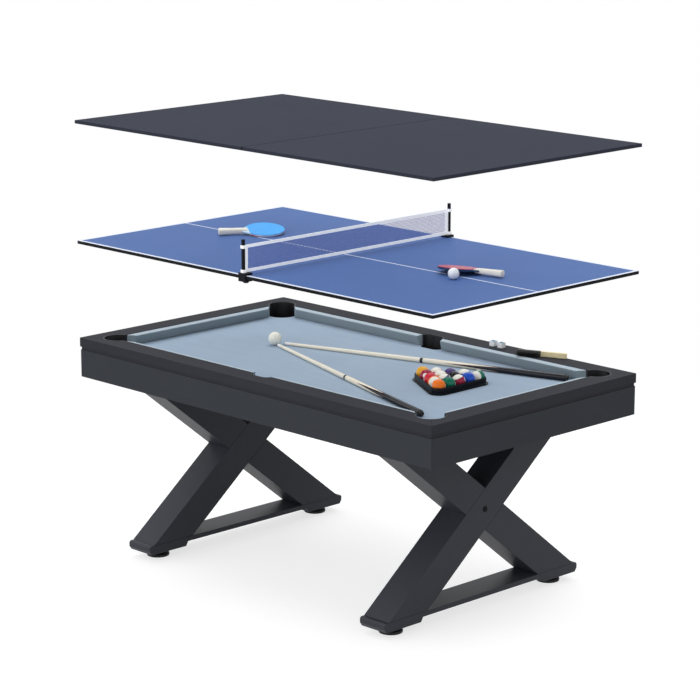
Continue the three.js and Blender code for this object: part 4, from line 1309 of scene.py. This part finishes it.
def dress_brush():
    place = shift(*BRUSH_PLACE) @ turned(BRUSH_HEADING)
    low = SEAT_GAP
    high = low + BRUSH_DEPTH
    inset = (BRUSH_DEPTH - BRUSH_HANDLE_DEPTH) / 2
    end = BRUSH_BLOCK + BRUSH_HANDLE
    side = [
        (BRUSH_BLOCK, 0),
        *[(BRUSH_BLOCK + past, inset + inside) for past, inside in BRUSH_NECK_OUTLINE],
        (end - BRUSH_WAIST, inset),
        (end - BRUSH_END_EASE, inset),
        (end, inset + BRUSH_END_DEPTH),
    ]
    wood = [(0, low)]
    wood += [(x, low + inside) for x, inside in side]
    wood += [(x, high - inside) for x, inside in reversed(side)]
    wood += [(BRUSH_NOSE, high), (0, high - BRUSH_NOSE_DEPTH)]
    piece = prism_piece("brush_stock", wood, 0, BRUSH_HEIGHT, [brush_look])
    rounded(piece, "brush", ROUND_ANGLE, BRUSH_CORNER)
    hand_over(piece, place, "table_brush", "brush_wood", "brush_handle")

    draw = random.Random(BRISTLE_SEED)
    right = BRUSH_BLOCK - BRISTLE_EDGE
    top = BRUSH_HEIGHT - BRISTLE_EDGE
    wide = BRUSH_BLOCK - 2 * BRISTLE_MARGIN
    tall = BRUSH_HEIGHT - 2 * BRISTLE_MARGIN

    def scattered(value, reach):
        return value + draw.uniform(-reach, reach)

    bm = bmesh.new()
    prism(bm, rectangle(BRISTLE_EDGE, right, -BRISTLE_BACKING, 0), BRISTLE_EDGE, top)
    for column in range(BRISTLE_COLUMNS):
        for row in range(BRISTLE_ROWS):
            x = scattered(BRISTLE_MARGIN + wide * column / (BRISTLE_COLUMNS - 1), ROOT_SCATTER[0])
            z = scattered(BRISTLE_MARGIN + tall * row / (BRISTLE_ROWS - 1), ROOT_SCATTER[1])
            tip_x = min(max(scattered(x, TIP_SCATTER[0]), BRISTLE_EDGE), right)
            tip_z = min(max(scattered(z, TIP_SCATTER[1]), BRISTLE_EDGE), top)
            length = BRISTLE_LENGTH - draw.uniform(0, BRISTLE_TRIM)
            bristle(bm, (x, -BRISTLE_ROOT, z), (tip_x, -length, tip_z))
    hand_over(made("brush_tuft", bm, [bristle_look]), place, "table_brush", "bristle", "brush_bristles")


# A paddle: a ply core with edge tape, a rubber sheet on each side that ends in a chord, and a grip
def dress_paddles():
    finishes = {
        "left": ("paddle_blue", blue_rubber, red_rubber, painted_highlight_edge),
        "right": ("paddle_red", red_rubber, underside_rubber_painted_shade, navy_edge),
    }
    on_handle = HANDLE_HALF_WIDTH * math.sin(PADDLE_ROLL) + HANDLE_HALF_DEPTH * math.cos(PADDLE_ROLL)
    on_blade = BLADE_RADIUS * math.sin(PADDLE_ROLL) + RUBBER_HALF * math.cos(PADDLE_ROLL)
    lift = TENNIS_TOP + SEAT_GAP + max(on_handle, on_blade)
    opening = math.acos(-THROAT_HALF / BLADE_RADIUS) + SHOULDER
    core = arc(0, 0, BLADE_RADIUS, -opening, opening, BLADE_STEPS)
    core += [(-THROAT_REACH, THROAT_HALF), (-THROAT_REACH, -THROAT_HALF)]
    chord = math.acos(-HANDLE_START / BLADE_RADIUS)
    rubber = arc(0, 0, BLADE_RADIUS - RUBBER_INSET, -chord, chord, BLADE_STEPS)
    for side, (spot, heading) in PADDLES.items():
        slot, over, under, tape = finishes[side]
        node = f"{side}_paddle"
        place = shift(*spot, lift) @ turned(heading) @ turned(PADDLE_ROLL, "X")
        layers = [
            ("core", core, -CORE_HALF, CORE_HALF, tape, "ply"),
            ("top_rubber", rubber, CORE_HALF, RUBBER_HALF, over, "rubber"),
            ("under_rubber", rubber, -RUBBER_HALF, -CORE_HALF, under, "rubber"),
        ]
        pieces = []
        for part, outline, bottom, top, look, edge in layers:
            piece = prism_piece(f"{node}_{part}", outline, bottom, top, [look])
            pieces.append(rounded(piece, edge, ROUND_ANGLE))
        for piece in (*pieces, grip_piece(f"{node}_grip")):
            hand_over(piece, place, f"paddle_{side}", slot, node)


# A flared, rounded grip
def grip_piece(name):
    rings = []
    for reach, half_width, half_depth in GRIP_STATIONS:
        ring = []
        for step in range(GRIP_STEPS):
            angle = 2 * math.pi * step / GRIP_STEPS
            y = half_width * math.copysign(abs(math.cos(angle)) ** GRIP_WIDTH_POWER, math.cos(angle))
            z = half_depth * math.copysign(abs(math.sin(angle)) ** GRIP_DEPTH_POWER, math.sin(angle))
            ring.append((-reach, y, z))
        rings.append(ring)
    bm = bmesh.new()
    skin(bm, rings)
    return made(name, bm, [handle_look], ROUND_ANGLE)


def dress_tennis_ball():
    low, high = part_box("tennis_ball")
    piece = ball_piece("celluloid_ball", (high.z - low.z) / 2 / MM, celluloid_look)
    hand_over(piece, Matrix.Translation(centre("tennis_ball")), "small_ball", "celluloid", "tennis_ball")


# A pale floor with the table's soft shadow. What the camera and reflections see of it fades to plain white
# away from the table, as the paper of a studio does.
def build_floor():
    look = Look("floor_paper", roughness=0.9, specular=0.1)
    mottle = look.noise("paper_mottle")
    seen = look.seen()
    paper = look.mix(mottle, grey(0.60), grey(0.64))
    shown = look.mix(mottle, grey(0.40), grey(0.42))
    look.set("Base Color", look.mix(seen, paper, shown))
    glow = look.node("Emission", {"Color": WHITE, "Strength": look.math("MULTIPLY", seen, FLOOR_GLOW)})
    both = look.node("AddShader", {0: look.shader.outputs[0], 1: glow.outputs[0]})
    x, y, _ = look.axes()
    faded = look.math("MULTIPLY", seen, look.spread(look.off_axis(x, y), *FLOOR_FADE))
    plain = look.node("Emission", {"Color": WHITE, "Strength": 1.0})
    choice = look.node("MixShader", {0: faded, 1: both.outputs[0], 2: plain.outputs[0]})
    look.tree.links.new(choice.outputs[0], look.tree.nodes["Material Output"].inputs["Surface"])
    bm = bmesh.new()
    bmesh.ops.create_grid(bm, x_segments=2, y_segments=2, size=FLOOR_REACH)
    made("studio_floor", bm, [look.material])


def build_world():
    world = bpy.data.worlds.new("studio")
    bpy.context.scene.world = world
    world.use_nodes = True
    sky = Tree(world.node_tree)
    background = sky.tree.nodes["Background"]
    background.inputs["Color"].default_value = WHITE
    strength = sky.spread(sky.seen(), low=0, high=1, to_low=SKY_LEVEL)
    sky.tree.links.new(strength, background.inputs["Strength"])


# The photograph shows each top lit as if it stood alone, so the lifted tops don't shade what is below them
def build_lights():
    tops = bpy.data.collections.new("lifted_tops")
    for name in ("tennis_board_left", "tennis_board_right", "dining_panel_left", "dining_panel_right"):
        tops.objects.link(bpy.data.objects[name])
    for item in tops.collection_objects:
        item.light_linking.link_state = "EXCLUDE"
    for name, (direction, spread, level) in LAMPS.items():
        lamp = bpy.data.lights.new(name, "SUN")
        lamp.angle = math.radians(spread)
        lamp.energy = level * math.pi
        holder = bpy.data.objects.new(name, lamp)
        bpy.context.scene.collection.objects.link(holder)
        aim = Vector(direction).to_track_quat("Z", "Y").to_matrix().to_4x4()
        holder.matrix_world = Matrix.Translation(Vector(direction) * LAMP_DISTANCE) @ aim
        holder.light_linking.blocker_collection = tops


def build_camera():
    azimuth = math.radians(CAMERA_AZIMUTH)
    elevation = math.radians(CAMERA_ELEVATION)
    level = math.cos(elevation)
    back = Vector((math.sin(azimuth) * level, -math.cos(azimuth) * level, math.sin(elevation)))
    right = Vector((math.cos(azimuth), math.sin(azimuth), 0))
    camera = bpy.data.objects.new("camera", bpy.data.cameras.new("camera"))
    camera.data.lens = CAMERA_LENS
    camera.data.sensor_width = CAMERA_SENSOR
    camera.data.clip_end = CAMERA_REACH
    bpy.context.scene.collection.objects.link(camera)
    aim = Matrix((right, back.cross(right), back)).transposed().to_4x4()
    camera.matrix_world = Matrix.Translation(Vector(CAMERA_TARGET) + back * CAMERA_DISTANCE) @ aim
    bpy.context.scene.camera = camera


build_camera()
dress_rails_and_aprons()
dress_cushions()
dress_pockets()
dress_playfield()
dress_bed()
dress_legs()
dress_tops()
dress_feet()
dress_bolts()
dress_fillers()
dress_net()
dress_clamp_screws()
dress_racked_balls()
dress_rack()
dress_cue_ball()
dress_cues()
dress_chalks()
dress_brush()
dress_paddles()
dress_tennis_ball()
build_floor()
build_world()
build_lights()
bpy.context.scene.view_settings.view_transform = "Standard"
